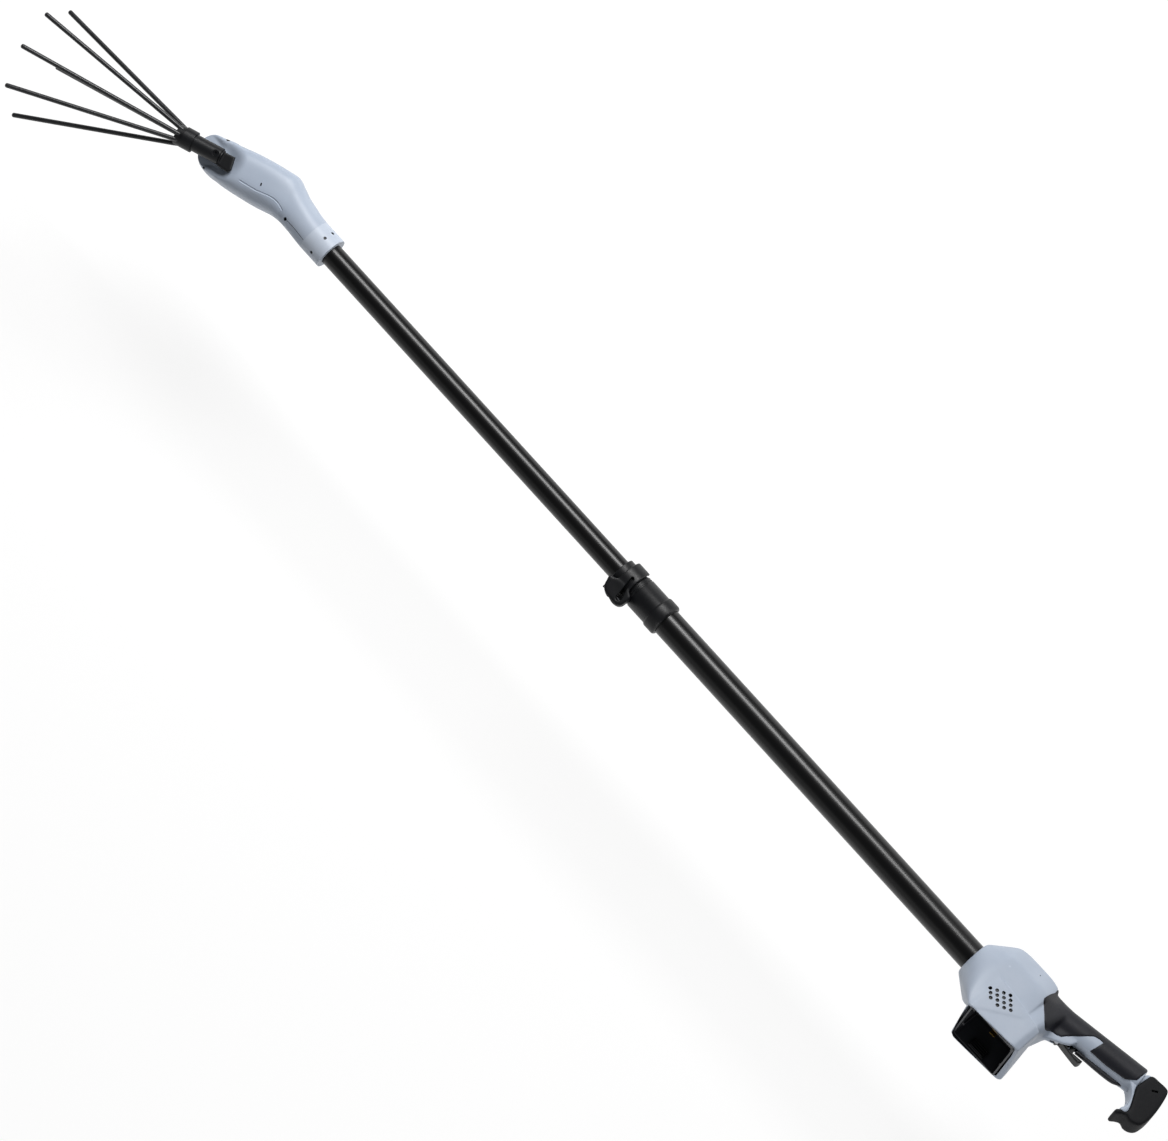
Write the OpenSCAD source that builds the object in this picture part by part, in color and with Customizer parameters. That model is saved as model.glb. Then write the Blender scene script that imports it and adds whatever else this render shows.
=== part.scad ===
// Battery olive harvester: a rake head on a telescopic pole with a power unit and grip.
// The pole lies along X, handle end at +X, and its axis meets the power unit at the origin.
// The rake's swing axis is Z. The grip end is turned about the pole from the head.

/* [Pole] */
// Outer diameter of the lower tube
outer_d = 35; // [32:0.5:38]
// Outer diameter of the upper tube
inner_d = 28; // [25:0.5:29]
// Wall of both tubes
tube_wall = 1.5; // [1.2:0.1:2]
// Length of lower tube between the power unit and the shoulder in the clamp
outer_len = 566; // [480:1:700]
// Length of upper tube seen between the clamp and the head
exposed_len = 508.5; // [420:0.5:600]
// Length of upper tube that stays inside the lower tube
overlap_len = 146; // [120:1:170]
// Depth of the lower tube in the power unit
seat_len = 55; // [40:1:58]

/* [Pole clamp] */
// Length of the clamp sleeve over the lower tube
sleeve_len = 41; // [35:1:60]
// Outer diameter of the clamp sleeve
sleeve_d = 40.6; // [39.5:0.1:44]
// Outer diameter of the band at the sleeve's handle end
sleeve_band_d = 43.6; // [42:0.1:48]
// Width of the lever
lever_w = 19; // [16:0.5:22]
// Thickness of the lever's curved arm
lever_t = 3.4; // [2.5:0.1:5]
// Diameter of the lever's pivot pin
lever_pin_d = 5; // [4:0.1:5.4]

/* [Rake head] */
// Angle between the head and the pole
head_bend = 17.1; // [10:0.1:24]
// Half width of the casing at its shoulder
casing_half_w = 27; // [26:0.5:32]
// Height of the casing's front face above the pole axis
casing_front = 28; // [26:0.5:34]
// Depth of the casing's back face below the pole axis
casing_back = 41.6; // [40:0.1:48]
// Wall of the head casing
casing_wall = 2.5; // [2:0.1:3]
// Distance from the bend to the output shaft
shaft_p = 97.5; // [96:0.5:104]
// Length of casing in front of the output shaft
nose_len = 26; // [22:0.5:27]
// Outer diameter of the neck
neck_d = 42; // [41:0.5:46]
// Length of the collar on the neck
collar_len = 30; // [26:1:34]

/* [Rake] */
// Diameter of a tine
tine_d = 4.8; // [4:0.1:5]
// Length of a tine, from its foot in the holder to its tip
tine_len = 220; // [150:1:320]
// Angle between a tine and the rake's axis
tine_splay = 17; // [10:0.5:18]
// Angle by which the whole fan leans back from the head's plane
fan_lean = 5; // [0:0.5:6]
// Angle at which the rake stands from the head's axis
rake_stand = 1.7; // [-3:0.1:3]
// Outer diameter of the hub
hub_d = 20.6; // [18:0.1:22]
// Outer diameter of the tine holder
holder_d = 26; // [24.5:0.1:30]
// Diameter of the output shaft
shaft_d = 10; // [9:0.1:11]

/* [Drive] */
// Gear module
gear_module = 1; // [1:0.05:1.05]
// Teeth on the motor pinion
pinion_teeth = 12; // [12:1:13]
// Teeth on the crank gear
crank_teeth = 38; // [36:1:38]
// Throw of the crank
crank_throw = 2.6; // [2:0.1:2.8]
// Distance from the output shaft to the rocker's pin
rocker_len = 9.2; // [9:0.1:10]
// Outer diameter of the motor can
motor_d = 40; // [34:1:42]

/* [Power unit] */
// Angle by which the grip end is turned about the pole
grip_turn = 25; // [0:1:40]
// Wall of the housing
housing_wall = 2.5; // [2:0.1:3]
// Half width of the housing at its widest facet
housing_half_w = 40; // [38:0.5:44]
// Height of the housing's roof above the pole axis
roof_u = 52.4; // [50:0.5:58]
// Length of the housing's straight part
housing_len = 67; // [62:1:72]
// Length of the battery bay along the pole
bay_len = 74; // [70:1:84]
// Half width of the battery bay
bay_half_w = 43; // [42:0.5:50]
// Depth of the bay's mouth below the pole axis
bay_mouth_u = 63; // [58:1:74]
// Diameter of a vent hole
vent_d = 4.6; // [3:0.1:4.8]

/* [Grip] */
// Angle of the grip to the pole
grip_tilt = 10.8; // [6:0.1:14]
// Length of the grip
grip_len = 121; // [110:1:135]
// Diameter over the grip's rubber
grip_d = 36.6; // [34:0.1:40]
// Thickness of the grip's rubber
rubber_t = 2.7; // [2:0.1:3]
// Half thickness of the butt hook
butt_half_w = 15; // [12:0.5:17]
// Diameter of the lanyard hole
lanyard_d = 6; // [4:0.1:8]
// Width of the trigger
trigger_w = 14; // [10:0.5:15]

/* [Hidden] */
// Radial clearance of a seat that doesn't move
seat_gap = 0.05;
// Radial clearance of a pin or tube that turns or slides
run_gap = 0.05;
// Clearance between faces that move past each other
free_gap = 0.3;
// Overlap that keeps joined shapes one solid, and reach of a cut past a face
eps = 0.5;
// Reach of a cut that goes right through
through = 400;
$fn = 64;

// Pole places
outer_r = outer_d / 2;
outer_bore_r = outer_r - tube_wall;
inner_r = inner_d / 2;
inner_bore_r = inner_r - tube_wall;
shoulder_x = -outer_len;
clamp_nose_len = 39;
clamp_front_x = shoulder_x - clamp_nose_len;
neck_end_x = clamp_front_x - exposed_len;
inner_end_x = shoulder_x + overlap_len;
bush_len = 30;
bush_inset = 5;
coil_d = 2 * (outer_bore_r - 0.3);
coil_bore_d = coil_d - 12;
grommet_len = 10;
lead_d = 6;

// Clamp places
lip_len = 8;
lip_d = 36.6;
nose_d = 37;
neck_groove_len = 7;
neck_groove_d = 38.6;
band_len = 17;
band_chamfer = 2;
lever_gap = 1.5;
lever_x0 = clamp_front_x + lip_len + free_gap;
lever_mid_x = lever_x0 + lever_w / 2;
slit_w = 3;
ear_t = 6.5;
ear_reach = 30;
ear_w = 17;
bolt_d = 5;
bolt_y = -25;
pin_r = lever_pin_d / 2;
pin_z = slit_w / 2 + ear_t + 6;
eye_w = 7;
eye_r = 5;
cheek_r = 5.6;
cheek_t = 12;
nut_d = 9;
nut_t = 4;
arm_tail_angle = 18;
arm_root_angle = 132;

// Head places: the bend is where the head's axis leaves the pole's line
socket_len = 42;
neck_run = 38;
bend_x = neck_end_x - socket_len - neck_run;
bend_y = 7;
nose_half_w = casing_half_w - 5.5;
nose_p = shaft_p + nose_len;
edge_cut = 12;
split_z = 8;
dish_r = 30;
dish_z = 16;
spigot_r = neck_d / 2 - 3.5;
collar_lip = 4;
collar_screw_d = 4;
collar_screw_angles = [35, 72, 141];
collar_screw_x = neck_end_x - 14;
drain_p = 37;
drain_v = 2;

// Drive places, from the output shaft back to the motor
bearing_d = 22;
bearing_w = 6;
seal_d = 18;
front_bearing_z = dish_z - casing_wall - 1 - bearing_w;
rear_bearing_z = -22;
boss_wall = 2.5;
plate_t = 1.6;
plate_top = -12.4;
gear_gap = 0.4;
gear_w = 8;
gear_z = plate_top + gear_gap;
gear_top = gear_z + gear_w;
crank_p = shaft_p - 44;
gear_distance = gear_module * (pinion_teeth + crank_teeth) / 2;
motor_p = crank_p - gear_distance;
motor_top = plate_top - plate_t;
motor_bottom = -casing_back + casing_wall + 6.2;
can_wall = 3;
rotor_gap = 0.5;
rotor_shaft_d = 5;
axle_d = 8;
crank_pin_d = 6;
rocker_pin_d = 4;
rod_z = 0.6;
rod_t = 5;
rod_w = 6;
rod_end_r = 6;
rod_eye_r = 3.7;
rocker_z = -10;
rocker_t = 10;
rocker_r = 9;
rocker_end_r = 5;
plate_end_p = 82;
screw_d = 3;
screw_head_d = 6;
screw_head_t = 2.5;
head_screw_grip = 16;
head_posts = [[9, -19.5], [9, 19.5], [67, -20], [67, 20], [112, -9.5], [112, 9.5]];
post_r = 3.8;

// Rake places, from the output shaft
hub_z = dish_z + 1.2 + hub_d / 2;
hub_tail = 5.3;
hub_front = 30.5;
holder_len = 23;
tab_len = 20;
tab_t = 6;
tine_foot = hub_front + 10;
tine_ring_r = 7.5;
tine_turns = [50, 92, 134, 197, 280, 350];
hub_bolt_d = 8;
hub_bolt_t = 3;

// Power unit places, in the grip's own frame: x along the pole, u away from the trigger, s to the side
socket_r = 22;
body_x0 = 30;
body_x1 = body_x0 + housing_len;
roof_half_w = 10;
facet_u = 21.8;
facet_half_w = housing_half_w - 4.3;
flank_u = 1.3;
skirt_u = -24;
skirt_half_w = housing_half_w + 1.4;
bay_x0 = 43;
bay_x1 = bay_x0 + bay_len;
bay_corner = 6;
bay_top_u = -20;
liner_t = 2;
liner_gap = 0.1;
liner_top_u = -22;
rail_w = 5;
rail_d = 2.5;
catch_w = 24;
catch_d = 4.4;
catch_h = 12;
blade_t = 1.2;
blade_w = 8;
blade_len = 12;
board_s = 24;
board_t = 1.6;
board_len = 58;
board_h = 34;
board_x0 = 36;
board_part_t = 7;
vent_grid = 4;
vent_start = [70.4, -18.9];
vent_row_step = [-7.1, -4.1];
vent_column_step = [4.4, -4.3];
housing_posts = [[35, 40], [92, 40], [107, -13]];
housing_post_r = 4;
far_screw_s = -14;
screw_reach = 10;

// Grip places
grip_x = 112;
grip_u = 26;
core_r = grip_d / 2 - rubber_t;
core_wall = 3;
core_bore_r = core_r - core_wall;
flange_t = 5;
grip_front = 12;
rubber_len = grip_len - grip_front - flange_t;
top_rubber_y = -4;
under_rubber_y = -9;
under_front = 36;
under_rear = 108;
under_r = core_r + 2;
switch_x0 = 22;
switch_len = 24;
switch_half_w = 8.8;
switch_half_h = 8.3;
grip_posts = [62, 100];
grip_post_r = 3.6;

// Trigger places
trigger_x = 134;
trigger_u = 9;
trigger_boss_r = 4;
trigger_pin_d = 4;
trigger_tail_x = 173;
trigger_top_u = 14.6;
trigger_bottom_u = 4.6;
plunger_x = 150;
plunger_w = 6;
plunger_top_u = 22.6;
plunger_half_w = 3;
ear_gap = 0.5;
housing_ear_t = 3;
spring_w = 4.4;
spring_r = 3.7;

// Butt places
handle_end_x = grip_x + grip_len * cos(grip_tilt);
handle_end_u = grip_u + grip_len * sin(grip_tilt);
lanyard_x = handle_end_x + 25.6;
lanyard_u = handle_end_u + 2.3;

// Frames

// The grip end: Y is u and Z is s
module grip_frame() {
    rotate([-grip_turn, 0, 0]) children();
}

// The grip: X runs back along its axis
module handle_frame() {
    grip_frame() translate([grip_x, grip_u, 0]) rotate([0, 0, grip_tilt]) children();
}

// The head: X runs forward along its axis, Y towards the trigger side
module head_frame() {
    translate([bend_x, bend_y, 0]) rotate([0, 0, 180 + head_bend]) children();
}

// The rake: as the head, from the crossing of the output shaft and the hub's axis
module rake_frame() {
    head_frame() translate([shaft_p, 0, hub_z]) rotate([0, 0, rake_stand]) children();
}

// The rake's fan, leaned back from the head's plane
module fan_frame() {
    rake_frame() rotate([0, fan_lean, 0]) children();
}

// Shared shapes

// A rod along X
module rod_x(r, x0, x1) {
    translate([x0, 0, 0]) rotate([0, 90, 0]) cylinder(r = r, h = x1 - x0);
}

// A tube along X
module tube_x(r, bore, x0, x1) {
    difference() {
        rod_x(r, x0, x1);
        rod_x(bore, x0 - eps, x1 + eps);
    }
}

// A ring along Z
module ring_z(r, bore, z0, z1) {
    translate([0, 0, z0]) difference() {
        cylinder(r = r, h = z1 - z0);
        translate([0, 0, -eps]) cylinder(r = bore, h = z1 - z0 + 2 * eps);
    }
}

// A rod along Z at a place
module post_z(x, y, r, z0, z1) {
    translate([x, y, z0]) cylinder(r = r, h = z1 - z0);
}

// A block between two corners
module block(low, high) {
    translate(low) cube(high - low);
}

// A cross-section in Y and Z, drawn along X
module along_x(x0, x1) {
    translate([x0, 0, 0]) rotate([90, 0, 90]) linear_extrude(x1 - x0) children();
}

// A rectangle with round corners
module round_rect(low, high, r) {
    translate([low.x + r, low.y]) square([high.x - low.x - 2 * r, high.y - low.y]);
    translate([low.x, low.y + r]) square([high.x - low.x, high.y - low.y - 2 * r]);
    for (x = [low.x + r, high.x - r], y = [low.y + r, high.y - r]) translate([x, y]) circle(r);
}

// Pole

module outer_tube() {
    color("#16171a") tube_x(outer_r, outer_bore_r, shoulder_x, seat_len);
}

module inner_tube() {
    color("#16171a") tube_x(inner_r, inner_bore_r, neck_end_x - socket_len, inner_end_x);
}

module guide_bush() {
    bush_x1 = inner_end_x - bush_inset;
    color("#d8d4c8")
        tube_x(outer_bore_r - run_gap, inner_r + run_gap, bush_x1 - bush_len, bush_x1);
}

module coiled_lead() {
    color("#1c1c1e") tube_x(coil_d / 2, coil_bore_d / 2, inner_end_x + free_gap, seat_len - eps);
}

module straight_lead() {
    color("#1c1c1e") rod_x(lead_d / 2, bend_x + 1, inner_end_x);
}

module lead_grommet() {
    color("#1a1a1c")
        tube_x(inner_bore_r - seat_gap, lead_d / 2 + seat_gap, inner_end_x - grommet_len, inner_end_x);
}

// Pole clamp

module clamp_profile() {
    x_lip = clamp_front_x;
    x_nose = x_lip + lip_len;
    x_groove = x_nose + lever_w + 2 * free_gap;
    x_sleeve = x_groove + neck_groove_len;
    x_end = shoulder_x + sleeve_len;
    x_band = x_end - band_len;
    rod_x(lip_d / 2, x_lip, x_nose);
    rod_x(nose_d / 2, x_nose - eps, x_groove);
    rod_x(neck_groove_d / 2, x_groove - eps, x_sleeve);
    rod_x(sleeve_d / 2, x_sleeve - eps, x_band);
    rod_x(sleeve_band_d / 2, x_band - eps, x_end - band_chamfer);
    rod_x(sleeve_band_d / 2 - band_chamfer, x_end - band_chamfer - eps, x_end);
}

module clamp_sleeve() {
    slit_x1 = lever_x0 + lever_w + free_gap;
    color("#1b1c20") difference() {
        union() {
            clamp_profile();
            block([lever_mid_x - ear_w / 2, -ear_reach, -slit_w / 2 - ear_t],
                  [lever_mid_x + ear_w / 2, -inner_r - 1, slit_w / 2 + ear_t]);
        }
        rod_x(inner_r + run_gap, clamp_front_x - eps, shoulder_x + eps);
        rod_x(outer_r + seat_gap, shoulder_x, 0);
        block([clamp_front_x - eps, -through, -slit_w / 2], [slit_x1, 0, slit_w / 2]);
        post_z(lever_mid_x, bolt_y, bolt_d / 2 + seat_gap, -through / 2, through / 2);
    }
}

module clamp_bolt() {
    color("#9a9da2") difference() {
        union() {
            post_z(lever_mid_x, bolt_y, bolt_d / 2, -slit_w / 2 - ear_t - nut_t - 2, pin_z);
            translate([0, bolt_y, pin_z]) rod_x(eye_r, lever_mid_x - eye_w / 2, lever_mid_x + eye_w / 2);
        }
        translate([0, bolt_y, pin_z]) rod_x(pin_r + seat_gap, lever_mid_x - eye_w, lever_mid_x + eye_w);
    }
}

module clamp_nut() {
    nut_z = -slit_w / 2 - ear_t;
    color("#9a9da2") translate([lever_mid_x, bolt_y, nut_z - nut_t]) difference() {
        cylinder(d = nut_d, h = nut_t, $fn = 6);
        translate([0, 0, -eps]) cylinder(r = bolt_d / 2 + seat_gap, h = nut_t + 2 * eps);
    }
}

module lever_pin() {
    pin_len = eye_w + 2 * cheek_t + 2 * free_gap;
    color("#9a9da2") translate([0, bolt_y, pin_z])
        rod_x(pin_r, lever_mid_x - pin_len / 2, lever_mid_x + pin_len / 2);
}

// One cam cheek of the lever, beside the bolt's eye
module lever_cheek(x0) {
    translate([0, bolt_y, pin_z]) rod_x(cheek_r, x0, x0 + cheek_t);
}

module clamp_lever() {
    arm_r = nose_d / 2 + lever_gap;
    arm_mid_r = arm_r + lever_t / 2;
    cheek_x = eye_w / 2 + free_gap;
    root_y = arm_mid_r * cos(arm_root_angle);
    root_z = arm_mid_r * sin(arm_root_angle);
    color("#1b1c20") difference() {
        union() {
            lever_cheek(lever_mid_x - cheek_x - cheek_t);
            lever_cheek(lever_mid_x + cheek_x);
            intersection() {
                tube_x(arm_r + lever_t, arm_r, lever_x0 + free_gap, lever_x0 + lever_w);
                along_x(lever_x0, lever_x0 + lever_w) polygon([
                    [0, 0],
                    for (step = [0:6]) let (a = arm_tail_angle
                        + (arm_root_angle - arm_tail_angle) * step / 6)
                        [2 * arm_r * cos(a), 2 * arm_r * sin(a)]
                ]);
            }
            along_x(lever_x0 + free_gap, lever_x0 + lever_w) polygon([
                [root_y + 3, root_z + 2.4],
                [root_y - 1.5, root_z + 3.4],
                [bolt_y - 2, pin_z + cheek_r - 0.5],
                [bolt_y - 4, pin_z + 2.5],
                [bolt_y + cheek_r - 1, pin_z - 1],
                [root_y + 0.5, root_z - 1]
            ]);
        }
        rod_x(arm_r, lever_x0 - through, lever_x0 + through);
        translate([0, bolt_y, pin_z])
            rod_x(pin_r + run_gap, lever_mid_x - through, lever_mid_x + through);
        translate([0, bolt_y, pin_z])
            rod_x(eye_r + 1.5, lever_mid_x - cheek_x, lever_mid_x + cheek_x);
    }
}

// Rake head casing

// Outline of the casing in the head's frame, drawn in from its outer face
function casing_outline(inset) = let (
    w = casing_half_w - inset,
    n = nose_half_w - inset,
    tip = nose_p - inset,
    arc_r = n * 0.8
) [
    [inset, -w], [55, -w], [tip - arc_r, -n],
    for (a = [-60:30:60]) [tip - arc_r + arc_r * cos(a), (n - arc_r) * sign(a) + arc_r * sin(a)],
    [tip - arc_r, n], [55, w], [inset, w]
];

// Cross-section of the casing, with its long edges cut
function casing_section(inset) = let (
    w = casing_half_w - inset,
    front = casing_front - inset,
    back = casing_back - inset,
    cut = edge_cut - inset * 0.6
) [
    [-w, -back + cut], [-w + cut, -back], [w - cut, -back], [w, -back + cut],
    [w, front - cut], [w - cut, front], [-w + cut, front], [-w, front - cut]
];

// The casing's solid shape, drawn in from its outer face
module casing_form(inset) {
    head_frame() intersection() {
        translate([0, 0, -through / 2]) linear_extrude(through) polygon(casing_outline(inset));
        along_x(-eps, through) polygon(casing_section(inset));
    }
    hull() {
        rod_x(neck_d / 2 - inset, bend_x + 18, bend_x + 20, $fn = 32);
        head_frame() along_x(inset, 14) polygon(casing_section(inset));
    }
    rod_x(neck_d / 2 - inset, bend_x + 18, neck_end_x - collar_len);
}

// The space inside the casing, under the dish
module casing_space() {
    difference() {
        casing_form(casing_wall);
        head_frame() post_z(shaft_p, 0, dish_r + casing_wall, dish_z - casing_wall, through);
        tube_x(neck_d, inner_r + seat_gap, neck_end_x - socket_len, neck_end_x);
    }
}

// The closed casing, before it is split into its two shells
module casing_body() {
    difference() {
        union() {
            difference() {
                union() {
                    casing_form(0);
                    rod_x(spigot_r, neck_end_x - collar_len - eps, neck_end_x - collar_lip);
                }
                casing_space();
                head_frame() post_z(shaft_p, 0, dish_r, dish_z, through);
            }
            intersection() {
                head_frame() {
                    for (p = head_posts) post_z(p.x, p.y, post_r, -casing_back + 1, front_post_top(p));
                    post_z(shaft_p, 0, bearing_d / 2 + boss_wall, -casing_back + 1, rear_bearing_z + bearing_w);
                    post_z(shaft_p, 0, bearing_d / 2 + boss_wall, front_bearing_z, dish_z - 1);
                }
                casing_form(1);
            }
        }
        rod_x(inner_r + seat_gap, neck_end_x - socket_len, neck_end_x + eps);
        rod_x(lead_d / 2 + 2, bend_x, neck_end_x);
        head_frame() {
            post_z(shaft_p, 0, bearing_d / 2 + seat_gap, rear_bearing_z, split_z - 1);
            post_z(shaft_p, 0, bearing_d / 2 + seat_gap, front_bearing_z - eps, front_bearing_z + bearing_w);
            post_z(shaft_p, 0, seal_d / 2 + seat_gap, front_bearing_z, dish_z + eps);
            for (p = head_posts) {
                post_z(p.x, p.y, screw_d / 2 + seat_gap, -through / 2, split_z + screw_reach_front(p));
                post_z(p.x, p.y, screw_head_d / 2 + free_gap, -through / 2, head_screw_z());
            }
            hull() for (side = [-1, 1])
                post_z(drain_p + side, drain_v - 1.5 * side, 1.1, split_z + 5, through / 2, $fn = 32);
        }
        collar_screw_holes();
    }
}

// Posts under the dish stop at its floor, the others reach the front face
function front_post_top(p) = p.x > shaft_p ? dish_z - 1 : casing_front - edge_cut / 2;
function screw_reach_front(p) = p.x > shaft_p ? 5 : 8;
function head_screw_z() = split_z - head_screw_grip;

// Holes for the screws that hold the collar on the neck
module collar_screw_holes() {
    for (a = collar_screw_angles) rotate([a, 0, 0])
        translate([collar_screw_x, inner_r, 0]) rotate([-90, 0, 0])
            cylinder(d = collar_screw_d + 2 * seat_gap, h = neck_d);
}

// The half space in front of the split, or behind it
module casing_half(front) {
    low = front ? split_z : -through;
    high = front ? through : split_z;
    translate([0, 0, low]) linear_extrude(high - low)
        translate([bend_x - through, -through]) square([3 * through, 2 * through]);
}

module head_front_shell() {
    color("#b3bdcb") intersection() {
        casing_body();
        casing_half(true);
    }
}

module head_rear_shell() {
    color("#a9b3c1") intersection() {
        casing_body();
        casing_half(false);
    }
}

module neck_collar() {
    x0 = neck_end_x - collar_len + seat_gap;
    color("#b3bdcb") difference() {
        rod_x(neck_d / 2, x0, neck_end_x);
        rod_x(spigot_r + seat_gap, x0 - eps, neck_end_x - collar_lip);
        rod_x(inner_r + seat_gap, x0, neck_end_x + eps);
        collar_screw_holes();
    }
}

module collar_screws() {
    color("#2b2c30") for (a = collar_screw_angles) rotate([a, 0, 0])
        translate([collar_screw_x, inner_r + 0.2, 0]) rotate([-90, 0, 0])
            cylinder(d = collar_screw_d, h = neck_d / 2 - inner_r - 1.2);
}

module head_screws() {
    color("#3a3b40") head_frame() for (p = head_posts) {
        post_z(p.x, p.y, screw_d / 2, head_screw_z() - eps, split_z + screw_reach_front(p) - 1);
        post_z(p.x, p.y, screw_head_d / 2, head_screw_z() - screw_head_t, head_screw_z());
    }
}

// Drive

module gear_plate() {
    hole_r = pinion_teeth * gear_module / 2 + 2;
    color("#8d9096") head_frame() difference() {
        translate([0, 0, motor_top]) linear_extrude(plate_t) intersection() {
            polygon(casing_outline(casing_wall + free_gap));
            translate([3, -through]) square([plate_end_p - 3, 2 * through]);
        }
        post_z(motor_p, 0, hole_r, -through, through);
        post_z(crank_p, 0, axle_d / 2 + seat_gap, -through, through);
        for (p = head_posts) post_z(p.x, p.y, post_r + free_gap, -through, through);
    }
}

module motor_can() {
    can_r = motor_d / 2;
    color("#5b5e64") head_frame() translate([motor_p, 0, 0]) difference() {
        post_z(0, 0, can_r, motor_bottom + seat_gap, motor_top);
        post_z(0, 0, can_r - 2 * can_wall, motor_bottom + can_wall, motor_top - can_wall);
        post_z(0, 0, rotor_shaft_d / 2 + run_gap, motor_bottom + 1, through);
    }
}

module motor_rotor() {
    core_z0 = motor_bottom + can_wall + rotor_gap;
    core_z1 = motor_top - can_wall - rotor_gap;
    color("#7d7f84") head_frame() translate([motor_p, 0, 0]) {
        post_z(0, 0, motor_d / 2 - 2 * can_wall - rotor_gap, core_z0, core_z1);
        post_z(0, 0, rotor_shaft_d / 2, motor_bottom + 1 + rotor_gap, gear_top + 1);
    }
}

// Involute gear outline. Angles are in degrees, and a tooth points along X.
function involute_angle(radius, base) = radius <= base ? 0
    : sqrt(pow(radius / base, 2) - 1) * 180 / PI - acos(base / radius);
function flank(teeth, backlash, side) = let (
    pitch_r = teeth * gear_module / 2,
    base_r = pitch_r * cos(20),
    tip_r = pitch_r + 0.8 * gear_module,
    root_r = pitch_r - 1.15 * gear_module,
    half = 90 / teeth - backlash / pitch_r * 90 / PI + involute_angle(pitch_r, base_r),
    first_r = max(root_r, base_r),
    steps = 4
) [
    [root_r, half],
    for (i = [0:steps]) let (r = first_r + (tip_r - first_r) * i / steps)
        [r, half - involute_angle(r, base_r)]
];
function gear_points(teeth, backlash) = let (side = flank(teeth, backlash)) [
    for (tooth = [0:teeth - 1]) let (mid = tooth * 360 / teeth) each concat(
        [for (p = side) [p.x * cos(mid - p.y), p.x * sin(mid - p.y)]],
        [for (i = [len(side) - 1:-1:0]) let (p = side[i])
            [p.x * cos(mid + p.y), p.x * sin(mid + p.y)]]
    )
];
gear_backlash = 0.12;

module motor_pinion() {
    mesh_turn = 180 / pinion_teeth;
    color("#b89a52") head_frame() translate([motor_p, 0, gear_z]) difference() {
        rotate([0, 0, mesh_turn]) linear_extrude(gear_w) polygon(gear_points(pinion_teeth, gear_backlash));
        translate([0, 0, -eps]) cylinder(r = rotor_shaft_d / 2 + seat_gap, h = gear_w + 2 * eps);
    }
}

module crank_gear() {
    blind = 1.5;
    color("#8d9096") head_frame() translate([crank_p, 0, gear_z]) difference() {
        rotate([0, 0, 180]) linear_extrude(gear_w) polygon(gear_points(crank_teeth, gear_backlash));
        translate([0, 0, -eps]) cylinder(r = axle_d / 2 + run_gap, h = gear_w - blind + eps);
    }
}

module crank_axle() {
    head_t = 3;
    color("#a4a7ac") head_frame() {
        post_z(crank_p, 0, axle_d / 2, motor_top - eps, gear_top - 1.8);
        post_z(crank_p, 0, axle_d / 2 + 0.6, motor_top - head_t, motor_top);
    }
}

module crank_pin() {
    color("#a4a7ac") head_frame() post_z(crank_p, crank_throw, crank_pin_d / 2, gear_top, rod_z + rod_t + 1);
}

module connecting_rod() {
    rod_dx = shaft_p - crank_p;
    rod_dy = -rocker_len - crank_throw;
    rod_len = norm([rod_dx, rod_dy]);
    color("#8d9096") head_frame() translate([crank_p, crank_throw, rod_z])
        rotate([0, 0, atan2(rod_dy, rod_dx)]) difference() {
            union() {
                cylinder(r = rod_end_r, h = rod_t);
                translate([rod_len, 0, 0]) cylinder(r = rod_eye_r, h = rod_t);
                translate([0, -rod_w / 2, 0]) cube([rod_len, rod_w, rod_t]);
            }
            translate([0, 0, -eps]) cylinder(r = crank_pin_d / 2 + run_gap, h = rod_t + 2 * eps);
            translate([rod_len, 0, -eps]) cylinder(r = rocker_pin_d / 2 + run_gap, h = rod_t + 2 * eps);
        }
}

module rocker() {
    color("#8d9096") head_frame() translate([shaft_p, 0, rocker_z]) difference() {
        union() {
            cylinder(r = rocker_r, h = rocker_t);
            translate([0, -rocker_len, 0]) cylinder(r = rocker_end_r, h = rocker_t);
            translate([-rocker_end_r, -rocker_len, 0]) cube([2 * rocker_end_r, rocker_len, rocker_t]);
        }
        translate([0, 0, -eps]) cylinder(r = shaft_d / 2 + seat_gap, h = rocker_t + 2 * eps);
    }
}

module lead_terminal() {
    color("#d9d9d4") head_frame() block([6, -8, plate_top], [16, 8, 3]);
}

// Bearings, seal and shaft

// A ball bearing drawn as one ring with a groove on each face
module bearing(z0) {
    mid_r = (bearing_d + shaft_d) / 4;
    color("#b9bcc2") head_frame() translate([shaft_p, 0, z0]) difference() {
        ring_z(bearing_d / 2, shaft_d / 2 + run_gap, 0, bearing_w);
        for (z = [0, bearing_w]) ring_z(mid_r + 1.2, mid_r - 1.2, z - 0.6, z + 0.6);
    }
}

module front_bearing() {
    bearing(front_bearing_z);
}

module rear_bearing() {
    bearing(rear_bearing_z);
}

module shaft_seal() {
    color("#1a1a1c") head_frame() translate([shaft_p, 0, 0])
        ring_z(seal_d / 2, shaft_d / 2 + run_gap, front_bearing_z + bearing_w, dish_z);
}

module output_shaft() {
    color("#a4a7ac") head_frame()
        post_z(shaft_p, 0, shaft_d / 2, rear_bearing_z + free_gap, hub_z + hub_d / 2 - hub_bolt_t - 1.5);
}

// Rake

module rake_hub() {
    color("#1b1c20") rake_frame() difference() {
        rod_x(hub_d / 2, -hub_tail, hub_front);
        post_z(0, 0, shaft_d / 2 + seat_gap, -hub_d, hub_d / 2 - hub_bolt_t - 1.5);
        post_z(0, 0, hub_bolt_d / 2 + seat_gap, 0, hub_d);
    }
}

module hub_bolt() {
    color("#2e2f33") rake_frame() difference() {
        post_z(0, 0, hub_bolt_d / 2, hub_d / 2 - hub_bolt_t - 1.5, hub_d / 2 - 1);
        translate([0, 0, hub_d / 2 - 2.6]) cylinder(d = 4.4, h = hub_d, $fn = 6);
    }
}

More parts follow.
